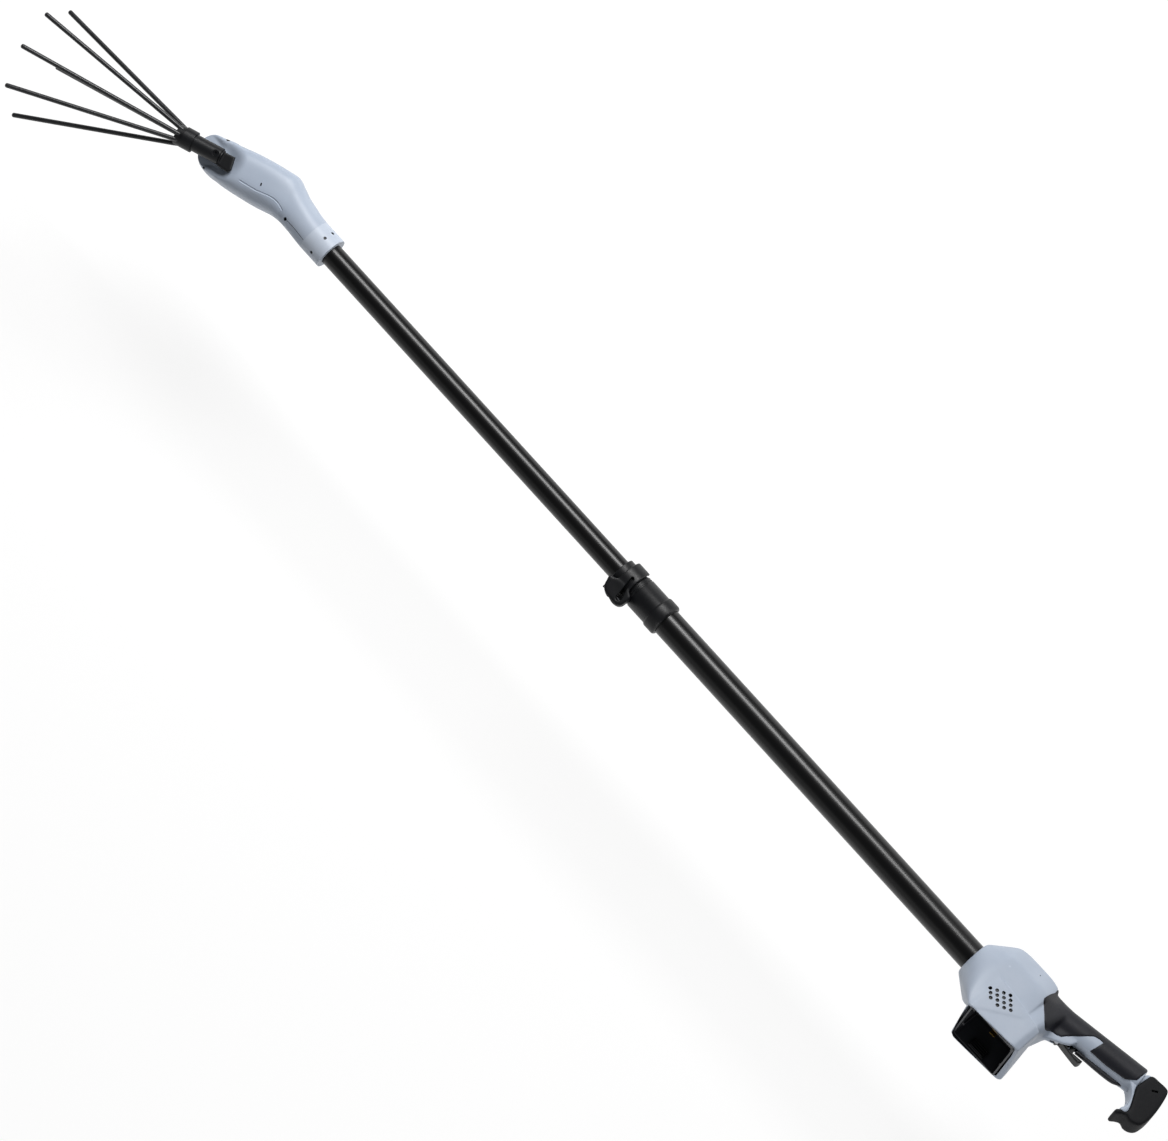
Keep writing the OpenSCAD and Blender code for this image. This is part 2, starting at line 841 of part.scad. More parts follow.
// The flat tab behind the hub, on a round flange that closes the hub's tail
module hub_tab() {
    flange = 2;
    color("#26272b") rake_frame() {
        rod_x(hub_d / 2 - 1.5, -hub_tail - flange, -hub_tail);
        translate([-hub_tail, 0, -tab_t / 2]) linear_extrude(tab_t) polygon([
            [-1.2, -7.2], [-tab_len + 4.3, -7.3], [-tab_len + 0.9, 8.3], [-tab_len + 3.3, 12.5], [-1.2, 11]
        ]);
    }
}

// A rod along a tine, from its foot
module tine_rod(i, r, len) {
    a = tine_turns[i];
    fan_frame() translate([tine_foot, -tine_ring_r * cos(a), tine_ring_r * sin(a)])
        multmatrix(m = tine_axes(a)) cylinder(r = r, h = len);
}

// Axes of a tine: its rod leaves the fan's axis by the splay, in the direction of its turn
function tine_axes(a) = let (
    c = cos(tine_splay),
    k = sin(tine_splay),
    along = [c, -k * cos(a), k * sin(a)],
    side = [0, sin(a), cos(a)],
    up = cross(along, side)
) [
    [side.x, up.x, along.x, 0],
    [side.y, up.y, along.y, 0],
    [side.z, up.z, along.z, 0],
    [0, 0, 0, 1]
];

module tine_holder() {
    color("#1b1c20") difference() {
        union() {
            rake_frame() rod_x(holder_d / 2, hub_front, hub_front + holder_len * 0.6);
            fan_frame() rod_x(holder_d / 2 - 0.6, hub_front + 2, hub_front + holder_len);
        }
        for (i = [0:len(tine_turns) - 1]) tine_rod(i, tine_d / 2 + seat_gap, tine_len);
    }
}

module tine(i) {
    color("#202226") tine_rod(i, tine_d / 2, tine_len);
}

// Power unit housing

// Cross-section of the housing above the bay, drawn in from its outer face
function housing_section(inset) = [
    [skirt_u + inset, -skirt_half_w + inset], [flank_u, -housing_half_w + inset],
    [facet_u - inset * 0.3, -facet_half_w + inset], [roof_u - inset, -roof_half_w + inset * 0.5],
    [roof_u - inset, roof_half_w - inset * 0.5], [facet_u - inset * 0.3, facet_half_w - inset],
    [flank_u, housing_half_w - inset], [skirt_u + inset, skirt_half_w - inset]
];

// The housing's solid shape in the grip's frame, drawn in from its outer face
module housing_form(inset) {
    hull() {
        rod_x(socket_r - inset, inset, 4 + inset, $fn = 32);
        along_x(body_x0 + inset * 0.5, body_x1 - inset) polygon(housing_section(inset));
    }
    hull() {
        along_x(body_x1 - 12, body_x1 - inset) polygon([
            for (p = housing_section(inset + 3)) [max(-14, min(p.x, 46 - inset)), p.y * 0.86]
        ]);
        translate([grip_x, grip_u, 0]) rotate([0, 0, grip_tilt])
            rod_x(core_r + 1 - inset, grip_front - 4, grip_front, $fn = 32);
        rod_u(trigger_x - 12, 3 + inset, 10 - inset, $fn = 32);
    }
    translate([0, bay_top_u, 0]) rotate([90, 0, 0]) linear_extrude(bay_mouth_u + bay_top_u)
        round_rect([bay_x0 + inset, -bay_half_w + inset], [bay_x1 - inset, bay_half_w - inset], bay_corner);
    translate([0, bay_top_u + 14, 0]) rotate([90, 0, 0]) linear_extrude(20)
        round_rect([bay_x0 + inset, -skirt_half_w + inset], [bay_x1 - inset, skirt_half_w - inset], bay_corner);
}

// A short rod along s, where the trigger's ears hang
module rod_u(x, u, r) {
    translate([x, u, -r]) cylinder(r = r, h = 2 * r);
}

// A grip screw or a hole for one, along s in the housing
module cross_screws(r, s0, s1) {
    for (p = housing_posts) post_z(p.x, p.y, r, s0, s1);
}

// The same in the grip
module grip_screws(r, s0, s1) {
    translate([grip_x, grip_u, 0]) rotate([0, 0, grip_tilt])
        for (x = grip_posts) post_z(x, 0, r, s0, s1);
}

// The grip's core, its flange and its hollow, in the grip's frame
module grip_core(r, x0, x1) {
    translate([grip_x, grip_u, 0]) rotate([0, 0, grip_tilt]) rod_x(r, x0, x1);
}

// The closed housing, before it is split along the pole
module housing_body() {
    ear_s = trigger_w / 2 + ear_gap;
    difference() {
        union() {
            difference() {
                union() {
                    housing_form(0);
                    grip_core(core_r, 0, grip_len);
                    grip_core(grip_d / 2, grip_len - flange_t, grip_len);
                }
                housing_form(housing_wall);
                grip_core(core_bore_r, -4, grip_len - flange_t);
            }
            rod_x(outer_r + 3, eps, seat_len + 3);
            intersection() {
                union() {
                    cross_screws(housing_post_r, -through / 2, through / 2);
                    grip_screws(grip_post_r, -core_r, core_r);
                    for (x = [board_x0 + 3, board_x0 + board_len - 3], u = [-14, 14])
                        post_z(x, u, 2.5, board_s + board_t, housing_half_w);
                }
                union() {
                    housing_form(1);
                    grip_core(core_r - 1, 0, grip_len);
                }
            }
            for (side = [-1, 1]) translate([0, 0, side * (ear_s + housing_ear_t / 2)])
                linear_extrude(housing_ear_t, center = true) polygon([
                    [trigger_x - 10, 3], [trigger_x + 3, trigger_u - 5], [trigger_x + 6, trigger_u - 1],
                    [trigger_x + 6, trigger_u + 9], [trigger_x - 12, trigger_u + 9]
                ]);
        }
        rod_x(outer_r + seat_gap, -eps, seat_len);
        rod_x(outer_bore_r - 2, 0, seat_len + 10);
        translate([0, -bay_mouth_u - eps, 0]) rotate([-90, 0, 0]) linear_extrude(bay_mouth_u + liner_top_u + eps)
            round_rect([bay_x0 + housing_wall, -bay_half_w + housing_wall],
                       [bay_x1 - housing_wall, bay_half_w - housing_wall], bay_corner - housing_wall);
        cross_screws(screw_d / 2 + seat_gap, far_screw_s - eps, screw_reach + 1);
        cross_screws(screw_head_d / 2 + free_gap, -through / 2, far_screw_s);
        grip_screws(screw_d / 2 + seat_gap, -6, screw_reach);
        grip_screws(screw_head_d / 2 + free_gap, -through / 2, -6);
        post_z(trigger_x, trigger_u, trigger_pin_d / 2 + seat_gap, -through / 2, through / 2);
        trigger_room();
        vents();
    }
}

// Room for the trigger's swing under the grip
module trigger_room() {
    half_w = trigger_w / 2 + ear_gap;
    block([trigger_x - trigger_boss_r - 2, -through / 4, -half_w],
          [trigger_tail_x + 4, trigger_top_u + 1.5, half_w]);
    block([plunger_x - 3, 0, -plunger_half_w - 1], [plunger_x + plunger_w + 2, plunger_top_u + 4, plunger_half_w + 1]);
}

// Slanted rows of holes that cool the controller
module vents() {
    for (i = [0:vent_grid - 1], j = [0:vent_grid - 1]) if (i + j < 2 * vent_grid - 2) {
        place = vent_start + i * vent_row_step + j * vent_column_step;
        post_z(place.x, place.y, vent_d / 2, bay_half_w - 6, through / 2);
    }
}

module housing_left() {
    color("#b3bdcb") grip_frame() intersection() {
        housing_body();
        block([-through, -through, 0], [2 * through, through, through]);
    }
}

module housing_right() {
    color("#a9b3c1") grip_frame() intersection() {
        housing_body();
        block([-through, -through, -through], [2 * through, through, 0]);
    }
}

module housing_screws() {
    color("#3a3b40") grip_frame() {
        cross_screws(screw_d / 2, far_screw_s - eps, screw_reach);
        cross_screws(screw_head_d / 2, far_screw_s - screw_head_t, far_screw_s);
        grip_screws(screw_d / 2, -6 - eps, screw_reach - 1);
        grip_screws(screw_head_d / 2, -6 - screw_head_t, -6);
    }
}

// Battery bay

module bay_liner() {
    inset = housing_wall + liner_gap;
    low = [bay_x0 + inset, -bay_half_w + inset];
    high = [bay_x1 - inset, bay_half_w - inset];
    corner = bay_corner - inset;
    step = [liner_t, liner_t];
    color("#141518") grip_frame() {
        translate([0, liner_top_u - liner_gap, 0]) rotate([90, 0, 0]) difference() {
            linear_extrude(bay_mouth_u + liner_top_u - 1) round_rect(low, high, corner);
            translate([0, 0, liner_t]) linear_extrude(through) round_rect(low + step, high - step, corner - 1);
        }
        for (x = [low.x + liner_t - eps, high.x - liner_t - rail_d], s = [-24, 24 - rail_w])
            block([x, -bay_mouth_u + 8, s], [x + rail_d + eps, liner_top_u - liner_t, s + rail_w]);
    }
}

module latch_catch() {
    wall_s = -bay_half_w + housing_wall + liner_gap + liner_t;
    mid_x = (bay_x0 + bay_x1) / 2;
    u0 = -bay_mouth_u + 3;
    color("#2a2c31") grip_frame() {
        block([mid_x - catch_w / 2, u0, wall_s], [mid_x + catch_w / 2, u0 + catch_h, wall_s + catch_d - 1.4]);
        for (i = [0:3]) block([mid_x - catch_w / 2 + 2, u0 + 1 + i * 2.9, wall_s + 1],
                              [mid_x + catch_w / 2 - 2, u0 + 2.4 + i * 2.9, wall_s + catch_d]);
    }
}

module terminal_block() {
    top_u = liner_top_u - liner_gap - liner_t;
    mid_x = (bay_x0 + bay_x1) / 2;
    color("#1d1e22") grip_frame() difference() {
        block([mid_x - 16, top_u - 6, -18], [mid_x + 16, top_u, 18]);
        for (s = [-12, 0, 12])
            block([mid_x - blade_w / 2 - seat_gap, top_u - 7, s - blade_t / 2 - seat_gap],
                  [mid_x + blade_w / 2 + seat_gap, top_u - 1, s + blade_t / 2 + seat_gap]);
    }
}

module terminal_blades() {
    top_u = liner_top_u - liner_gap - liner_t - 1.1;
    mid_x = (bay_x0 + bay_x1) / 2;
    color("#c2a25a") grip_frame() for (s = [-12, 0, 12])
        block([mid_x - blade_w / 2, top_u - 5 - blade_len, s - blade_t / 2],
              [mid_x + blade_w / 2, top_u, s + blade_t / 2]);
}

module controller_board() {
    color("#2f5d3f") grip_frame() {
        block([board_x0, -board_h / 2, board_s], [board_x0 + board_len, board_h / 2, board_s + board_t]);
        for (x = [board_x0 + 14, board_x0 + 28, board_x0 + 42])
            post_z(x, 3, 4.5, board_s + board_t - eps, board_s + board_t + board_part_t);
        block([board_x0 + 10, -12, board_s + board_t - eps],
              [board_x0 + 46, -5, board_s + board_t + board_part_t / 2]);
    }
}

// Grip

module trigger_switch() {
    color("#1d1e22") handle_frame()
        block([switch_x0, -switch_half_h, -switch_half_w],
              [switch_x0 + switch_len, switch_half_h, switch_half_w]);
}

// A length of rubber sleeve on the grip's core, between two heights
module rubber_sleeve(r, x0, x1, y0, y1) {
    intersection() {
        tube_x(r, core_r + seat_gap, x0, x1);
        block([x0, y0, -through / 2], [x1, y1, through / 2]);
    }
}

module grip_top() {
    color("#2a2b2f") difference() {
        handle_frame() rubber_sleeve(grip_d / 2, grip_front, grip_front + rubber_len - seat_gap, top_rubber_y, grip_d);
        grip_frame() grip_screws(screw_head_d / 2 + free_gap, -through / 2, -6);
        grip_frame() housing_form(-0.1);
    }
}

module grip_under() {
    color("#2a2b2f") difference() {
        handle_frame() rubber_sleeve(under_r, under_front, under_rear, -grip_d, under_rubber_y);
        grip_frame() trigger_room();
    }
}

// Outline of the butt from the grip's end: a block behind the grip with a hook that hangs under it
function butt_outline() = [
    [-6.9, 13.8], [25.1, 18.8], [30.1, 16.3], [35.6, 1.3], [39.6, -22.7], [40.6, -39.7], [37.6, -51.7],
    [31.1, -56.7], [21.6, -54.2], [17.1, -59.7], [12.1, -61.2], [8.7, -57.7], [11.1, -47.7], [14.1, -38.7],
    [12.1, -29.7], [6.1, -22.7], [-0.9, -19.2]
];

module butt_hook() {
    color("#222327") grip_frame() difference() {
        translate([handle_end_x, handle_end_u, 0])
            linear_extrude(2 * butt_half_w, center = true) polygon(butt_outline());
        post_z(lanyard_x, lanyard_u, lanyard_d / 2, -through / 2, through / 2);
        grip_core(grip_d, -grip_len, grip_len + seat_gap);
    }
}

// Trigger

module trigger() {
    half_w = trigger_w / 2;
    color("#1d1e22") grip_frame() difference() {
        union() {
            post_z(trigger_x, trigger_u, trigger_boss_r, -half_w, half_w);
            linear_extrude(trigger_w, center = true) polygon([
                [trigger_x - 2, trigger_bottom_u + 0.8], [trigger_tail_x - 5, trigger_bottom_u - 0.6],
                [trigger_tail_x, trigger_bottom_u + 1.5], [trigger_tail_x, trigger_top_u],
                [trigger_x + 8, trigger_top_u - 2], [trigger_x, trigger_u + trigger_boss_r - 0.2]
            ]);
            block([plunger_x, trigger_u, -plunger_half_w],
                  [plunger_x + plunger_w, plunger_top_u, plunger_half_w]);
        }
        post_z(trigger_x, trigger_u, trigger_pin_d / 2 + run_gap, -through, through);
        post_z(trigger_x, trigger_u, trigger_boss_r + 1.2, -spring_w / 2 - free_gap, spring_w / 2 + free_gap);
    }
}

module trigger_pin() {
    reach = trigger_w / 2 + ear_gap + housing_ear_t;
    color("#9a9da2") grip_frame() post_z(trigger_x, trigger_u, trigger_pin_d / 2, -reach, reach);
}

module trigger_spring() {
    color("#9a9da2") grip_frame() translate([trigger_x, trigger_u, 0])
        ring_z(spring_r, trigger_pin_d / 2 + seat_gap, -spring_w / 2, spring_w / 2);
}

outer_tube();
inner_tube();
guide_bush();
coiled_lead();
straight_lead();
lead_grommet();
clamp_sleeve();
clamp_bolt();
clamp_nut();
lever_pin();
clamp_lever();
neck_collar();
collar_screws();
head_front_shell();
head_rear_shell();
head_screws();
gear_plate();
motor_can();
motor_rotor();
motor_pinion();
lead_terminal();
crank_axle();
crank_gear();
crank_pin();
connecting_rod();
rocker();
output_shaft();
front_bearing();
rear_bearing();
shaft_seal();
rake_hub();
hub_bolt();
hub_tab();
tine_holder();
tine(0);  // tine_1
tine(1);  // tine_2
tine(2);  // tine_3
tine(3);  // tine_4
tine(4);  // tine_5
tine(5);  // tine_6
housing_left();
housing_right();
housing_screws();
bay_liner();
terminal_block();
terminal_blades();
latch_catch();
controller_board();
trigger_switch();
grip_top();
grip_under();
butt_hook();
trigger();
trigger_pin();
trigger_spring();
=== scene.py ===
"""Studio scene of a battery olive harvester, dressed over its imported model."""
import logging
import math
from dataclasses import dataclass
from enum import Enum
from itertools import product
from typing import Callable, Iterable, Sequence

import bmesh
import bpy
import numpy as np
from mathutils import Matrix, Vector


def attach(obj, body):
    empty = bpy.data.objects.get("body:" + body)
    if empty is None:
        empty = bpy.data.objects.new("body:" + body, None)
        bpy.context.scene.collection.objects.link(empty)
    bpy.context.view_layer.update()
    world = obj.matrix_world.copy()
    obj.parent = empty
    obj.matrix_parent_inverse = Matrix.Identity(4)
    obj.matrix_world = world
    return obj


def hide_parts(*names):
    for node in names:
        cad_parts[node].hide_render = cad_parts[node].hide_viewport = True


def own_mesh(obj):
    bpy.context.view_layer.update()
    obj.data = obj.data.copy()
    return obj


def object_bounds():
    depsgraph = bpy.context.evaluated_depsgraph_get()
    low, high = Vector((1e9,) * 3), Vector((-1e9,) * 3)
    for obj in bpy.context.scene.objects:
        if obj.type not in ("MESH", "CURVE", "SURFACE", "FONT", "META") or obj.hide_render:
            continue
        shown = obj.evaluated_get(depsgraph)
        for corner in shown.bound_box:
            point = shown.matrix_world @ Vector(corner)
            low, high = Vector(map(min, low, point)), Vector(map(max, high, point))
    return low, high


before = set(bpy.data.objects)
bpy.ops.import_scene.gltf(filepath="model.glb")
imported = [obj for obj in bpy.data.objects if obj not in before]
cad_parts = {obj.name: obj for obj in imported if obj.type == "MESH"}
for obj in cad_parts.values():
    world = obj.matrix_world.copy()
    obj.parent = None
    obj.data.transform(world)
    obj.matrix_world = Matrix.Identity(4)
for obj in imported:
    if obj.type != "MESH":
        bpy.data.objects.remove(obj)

LOG = logging.getLogger("harvester")
CAD_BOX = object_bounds()
MM = 0.001
Field = Callable[[np.ndarray], np.ndarray]
Row = tuple[float, ...]
Points = tuple[Row, ...]


def turn(degrees: float, axis: str) -> Matrix:
    """A turn about one axis, in degrees."""
    return Matrix.Rotation(math.radians(degrees), 4, axis)


# Frames of the sub-assemblies, in millimetres, as the solids have them
WORLD = Matrix.Identity(4)
GRIP = turn(-25, "X")
HANDLE_FOOT = (112.0, 26.0, 0.0)
HANDLE_TILT = 10.8
HEAD = Matrix.Translation((-1193.5, 7, 0)) @ turn(197.1, "Z")
RAKE = HEAD @ Matrix.Translation((97.5, 0, 27.5)) @ turn(1.7, "Z")
FAN = RAKE @ turn(5, "Y")


class Body(str, Enum):
    """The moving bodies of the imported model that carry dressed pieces."""

    UNIT = "power_unit"
    TRIGGER = "trigger_lever"
    LEVER = "lock_lever"
    HEAD = "rake_head"
    RAKE = "rake"


class Slot(str, Enum):
    """The record's material slots."""

    GREY = "grey_plastic"
    BLACK = "black_plastic"
    RUBBER = "grip_rubber"
    CARBON = "carbon_rod"
    LEAD = "lead_rubber"


class Grain(Enum):
    """How a surface was made, which sets the pattern in its bump and gloss."""

    SPARK = "spark-eroded mould texture"
    PEBBLE = "soft-touch moulding"
    DRAWN = "drawn lengthwise"
    TURNED = "turned or ground"


# Colour and shader nodes, with the colour sockets of the Mix node by number

MIX_SHARE, MIX_A, MIX_B, MIX_RESULT = 0, 6, 7, 2


def linear(code: str) -> tuple[float, float, float, float]:
    """Turns an sRGB hex colour into a linear one.

    Args:
        code: The colour as #RRGGBB.

    Returns:
        Red, green, blue and alpha for a shader socket.
    """
    shares = [int(code[i:i + 2], 16) / 255 for i in (1, 3, 5)]
    lin = [c / 12.92 if c <= 0.04045 else ((c + 0.055) / 1.055) ** 2.4 for c in shares]
    return (*lin, 1.0)


def add(tree: bpy.types.NodeTree, kind: str, values: dict | None = None,
        links: dict | None = None, **settings: object) -> bpy.types.Node:
    """Adds a node with its settings, socket values and links.

    Args:
        tree: The node tree it goes into.
        kind: Blender's name of the node type.
        values: Socket values by socket name or number.
        links: Source sockets by socket name or number.
        **settings: Properties of the node itself.

    Returns:
        The new node.
    """
    node = tree.nodes.new(kind)
    for name, value in settings.items():
        setattr(node, name, value)
    for name, value in (values or {}).items():
        node.inputs[name].default_value = value
    for name, source in (links or {}).items():
        tree.links.new(source, node.inputs[name])
    return node


def per_metre(size_mm: float) -> float:
    """The texture scale that repeats once in a size given in millimetres."""
    return 1 / (size_mm * MM)


@dataclass(frozen=True)
class Finish:
    """A real material's surface, as one procedural shader.

    Colours are sRGB hex values. Sizes are in millimetres.
    """

    name: str
    colour: str
    shade: str
    roughness: float
    grain: Grain = Grain.SPARK
    grain_mm: float = 0.9
    bump: float = 0.05
    cloud_mm: float = 60.0
    rough_spread: float = 0.06
    metallic: float = 0.0
    ior: float = 1.5
    specular: float = 0.5
    coat: float = 0.0
    coat_roughness: float = 0.1
    round_mm: float = 0.0
    wear: str = ""
    # Reach of the painted shade that darkens the colour near other surfaces, nought for none
    painted_shade_mm: float = 0.0
    stretch: tuple[float, float, float] = (1.0, 1.0, 1.0)

    def material(self) -> bpy.types.Material:
        """The Blender material of this finish, made once."""
        found = bpy.data.materials.get(self.name)
        return found or self.build()

    def build(self) -> bpy.types.Material:
        """Builds the shader: cloudy colour, wear, painted hollow shade, uneven gloss and a fine moulded or drawn
        grain.

        Returns:
            The new material.
        """
        made = bpy.data.materials.new(self.name)
        made.use_nodes = True
        tree = made.node_tree
        tree.nodes.clear()
        where = add(tree, "ShaderNodeTexCoord").outputs["Object"]
        if self.stretch != (1.0, 1.0, 1.0):
            where = add(tree, "ShaderNodeMapping", {"Scale": self.stretch}, {"Vector": where}).outputs[0]
        cloud = add(tree, "ShaderNodeTexNoise", {"Scale": per_metre(self.cloud_mm), "Detail": 4.0,
                                                 "Roughness": 0.6}, {"Vector": where})
        spread = add(tree, "ShaderNodeMapRange", {"From Min": 0.35, "From Max": 0.65},
                     {"Value": cloud.outputs["Fac"]})
        tint = add(tree, "ShaderNodeMix", {MIX_A: linear(self.colour), MIX_B: linear(self.shade)},
                   {MIX_SHARE: spread.outputs["Result"]}, data_type="RGBA")
        colour = tint.outputs[MIX_RESULT]
        if self.wear:
            colour = self.worn(tree, colour)
        # Painted shade: ambient occlusion darkens the colour in hollows and corners
        if self.painted_shade_mm:
            near = add(tree, "ShaderNodeAmbientOcclusion", {"Distance": self.painted_shade_mm * MM}, {"Color": colour},
                       samples=8)
            colour = near.outputs["Color"]
        fine = self.pattern(tree, where)
        gloss = add(tree, "ShaderNodeMapRange",
                    {"From Min": 0.3, "From Max": 0.7, "To Min": self.roughness - self.rough_spread,
                     "To Max": self.roughness + self.rough_spread}, {"Value": fine})
        bump = add(tree, "ShaderNodeBump", {"Strength": self.bump, "Distance": self.grain_mm * MM}, {"Height": fine})
        if self.round_mm:
            edge = add(tree, "ShaderNodeBevel", {"Radius": self.round_mm * MM}, samples=4)
            tree.links.new(edge.outputs[0], bump.inputs["Normal"])
        shader = add(tree, "ShaderNodeBsdfPrincipled",
                     {"Metallic": self.metallic, "IOR": self.ior, "Specular IOR Level": self.specular,
                      "Coat Weight": self.coat, "Coat Roughness": self.coat_roughness},
                     {"Base Color": colour, "Roughness": gloss.outputs["Result"], "Normal": bump.outputs[0]})
        add(tree, "ShaderNodeOutputMaterial", None, {"Surface": shader.outputs[0]})
        return made

    def pattern(self, tree: bpy.types.NodeTree, where: bpy.types.NodeSocket) -> bpy.types.NodeSocket:
        """The fine height pattern of the grain.

        Args:
            tree: The material's node tree.
            where: The coordinates to use.

        Returns:
            A socket with heights about 0.5.
        """
        scale = per_metre(self.grain_mm)
        if self.grain is Grain.PEBBLE:
            cells = add(tree, "ShaderNodeTexVoronoi", {"Scale": scale}, {"Vector": where}, feature="SMOOTH_F1")
            return cells.outputs["Distance"]
        detail = 5.0 if self.grain is Grain.DRAWN else 3.0
        noise = add(tree, "ShaderNodeTexNoise", {"Scale": scale, "Detail": detail, "Roughness": 0.55},
                    {"Vector": where})
        return noise.outputs["Fac"]

    def worn(self, tree: bpy.types.NodeTree, colour: bpy.types.NodeSocket) -> bpy.types.NodeSocket:
        """Colour rubbed lighter along the sharp edges.

        Args:
            tree: The material's node tree.
            colour: The colour before wear.

        Returns:
            The worn colour's socket.
        """
        edge = add(tree, "ShaderNodeNewGeometry").outputs["Pointiness"]
        share = add(tree, "ShaderNodeMapRange", {"From Min": 0.52, "From Max": 0.62, "To Max": 0.5}, {"Value": edge})
        mixed = add(tree, "ShaderNodeMix", {MIX_B: linear(self.wear)},
                    {MIX_SHARE: share.outputs["Result"], MIX_A: colour}, data_type="RGBA")
        return mixed.outputs[MIX_RESULT]


# Moulded ABS: a satin blue-grey with a fine spark texture that softens the highlights
ABS = Finish("moulded_grey_abs", "#A9B3C2", "#A3AEBE", 0.46, bump=0.035, grain_mm=0.8, cloud_mm=45, ior=1.53,
             wear="#C3CBD7")
# The inside of the same grey mould, left unpolished so it is duller, its colour painted dark as the shade inside
# vents, holes and grooves
ABS_HOLLOW_SHADE = Finish("moulded_grey_abs_painted_hollow_shade", "#24272C", "#1C1F23", 0.6, bump=0.04, ior=1.53)
# Glass-filled nylon: near black, with dull broad highlights
NYLON = Finish("glass_filled_black_nylon", "#0E0F12", "#0B0C0F", 0.42, bump=0.05, grain_mm=0.9, cloud_mm=25,
               ior=1.53, specular=0.3, round_mm=0.7, wear="#1B1C1F")
# The butt's nylon has a coarse etched texture that hardly shines
BUTT = Finish("etched_black_nylon", "#131417", "#0F1013", 0.62, bump=0.08, grain_mm=1.1, cloud_mm=25, ior=1.53,
              specular=0.16, wear="#1E1F23")
# The bay's liner is the same nylon with a moulded satin, its colour painted lighter as light inside the shaded bay,
# with painted shade where other surfaces are near
LINER = Finish("black_bay_nylon", "#3A3C42", "#303237", 0.5, bump=0.05, grain_mm=1.0, ior=1.53, round_mm=0.6,
               painted_shade_mm=5.0)
# Soft-touch elastomer: charcoal with a fine pebble that scatters the light
RUBBER = Finish("soft_touch_elastomer", "#1C1D24", "#17181E", 0.52, Grain.PEBBLE, grain_mm=0.9, bump=0.10,
                cloud_mm=30, ior=1.5, specular=0.3)
# Powder-coated aluminium tube: gloss black with a long clean highlight
TUBE = Finish("gloss_powder_coated_tube", "#060607", "#040405", 0.3, Grain.DRAWN, grain_mm=6.0, bump=0.0005,
              cloud_mm=90, rough_spread=0.012, specular=0.44, stretch=(0.15, 1.0, 1.0))
# Pultruded carbon: dark rods with faint lengthwise fibre streaks
CARBON = Finish("pultruded_carbon_rod", "#232427", "#131416", 0.38, Grain.DRAWN, grain_mm=1.2, bump=0.05,
                cloud_mm=4, coat=0.2, coat_roughness=0.25, stretch=(0.08, 0.5, 0.5))
# Zinc-plated steel: cool grey metal with fine turning marks
STEEL = Finish("zinc_plated_steel", "#9A9DA3", "#868990", 0.32, Grain.TURNED, grain_mm=0.6, bump=0.03, metallic=1.0)
# Blackened steel screws: dark, with a slight oily gloss
BLACK_STEEL = Finish("blackened_steel", "#232427", "#1A1B1D", 0.36, Grain.TURNED, grain_mm=0.6, bump=0.04,
                     metallic=0.8)
# Die-cast aluminium of the drive: pale grey metal with a grainy skin
CAST = Finish("die_cast_aluminium", "#A6A8AB", "#96989C", 0.44, grain_mm=1.2, bump=0.08, metallic=1.0)
# Brass blades and pinion: warm yellow metal
BRASS = Finish("rolled_brass", "#B89A54", "#A98B47", 0.3, Grain.TURNED, grain_mm=0.7, bump=0.03, metallic=1.0)
# Acetal bush and terminal: waxy off-white
ACETAL = Finish("turned_acetal", "#D8D4C8", "#CFCABC", 0.4, Grain.TURNED, grain_mm=0.8, bump=0.03)
# Lead sheath: dull black rubber
SHEATH = Finish("rubber_lead_sheath", "#1B1B1D", "#151517", 0.6, Grain.PEBBLE, grain_mm=1.2, bump=0.05)
# Epoxy-glass circuit board: green lacquer over a fine weave
BOARD = Finish("lacquered_epoxy_board", "#2F5D3F", "#285136", 0.35, grain_mm=1.0, bump=0.04, coat=0.3)

NODE_FINISH: dict[str, Finish] = {
    **dict.fromkeys(["outer_tube", "inner_tube"], TUBE),
    **dict.fromkeys(["neck_collar"], ABS),
    **dict.fromkeys(["rake_hub", "tine_holder", "trigger_switch", "terminal_block", "latch_catch"], NYLON),
    **dict.fromkeys(["bay_liner"], LINER),
    **dict.fromkeys(["collar_screws", "head_screws", "housing_screws", "hub_bolt", "clamp_bolt", "clamp_nut",
                     "lever_pin", "trigger_pin"], BLACK_STEEL),
    **dict.fromkeys(["motor_rotor", "crank_axle", "crank_gear", "crank_pin",
                     "output_shaft", "front_bearing", "rear_bearing", "trigger_spring"], STEEL),
    **dict.fromkeys(["gear_plate", "motor_can", "connecting_rod", "rocker"], CAST),
    **dict.fromkeys(["motor_pinion", "terminal_blades"], BRASS),
    **dict.fromkeys(["guide_bush", "lead_terminal"], ACETAL),
    **dict.fromkeys(["straight_lead", "lead_grommet", "shaft_seal"], SHEATH),
    "controller_board": BOARD,
}


# Mesh tools


def piece(name: str, points: np.ndarray, faces: Iterable[Sequence[int]]) -> bpy.types.Object:
    """A new object from points in millimetres, smooth shaded.

    Args:
        name: The object's name.
        points: Points, one row each.
        faces: Point numbers of each face.

    Returns:
        The object, still in millimetres.
    """
    mesh = bpy.data.meshes.new(name)
    mesh.from_pydata([tuple(p) for p in points], [], [tuple(int(i) for i in f) for f in faces])
    mesh.validate()
    work = bmesh.new()
    work.from_mesh(mesh)
    bmesh.ops.recalc_face_normals(work, faces=work.faces)
    work.to_mesh(mesh)
    work.free()
    mesh.shade_smooth()
    made = bpy.data.objects.new(name, mesh)
    bpy.context.scene.collection.objects.link(made)
    return made


def freeze(obj: bpy.types.Object) -> None:
    """Replaces an object's mesh with what its modifiers make of it."""
    bpy.context.view_layer.update()
    seen = obj.evaluated_get(bpy.context.evaluated_depsgraph_get())
    mesh = bpy.data.meshes.new_from_object(seen)
    obj.modifiers.clear()
    obj.data = mesh


def discard(obj: bpy.types.Object) -> None:
    """Deletes a helper object."""
    bpy.data.objects.remove(obj, do_unlink=True)


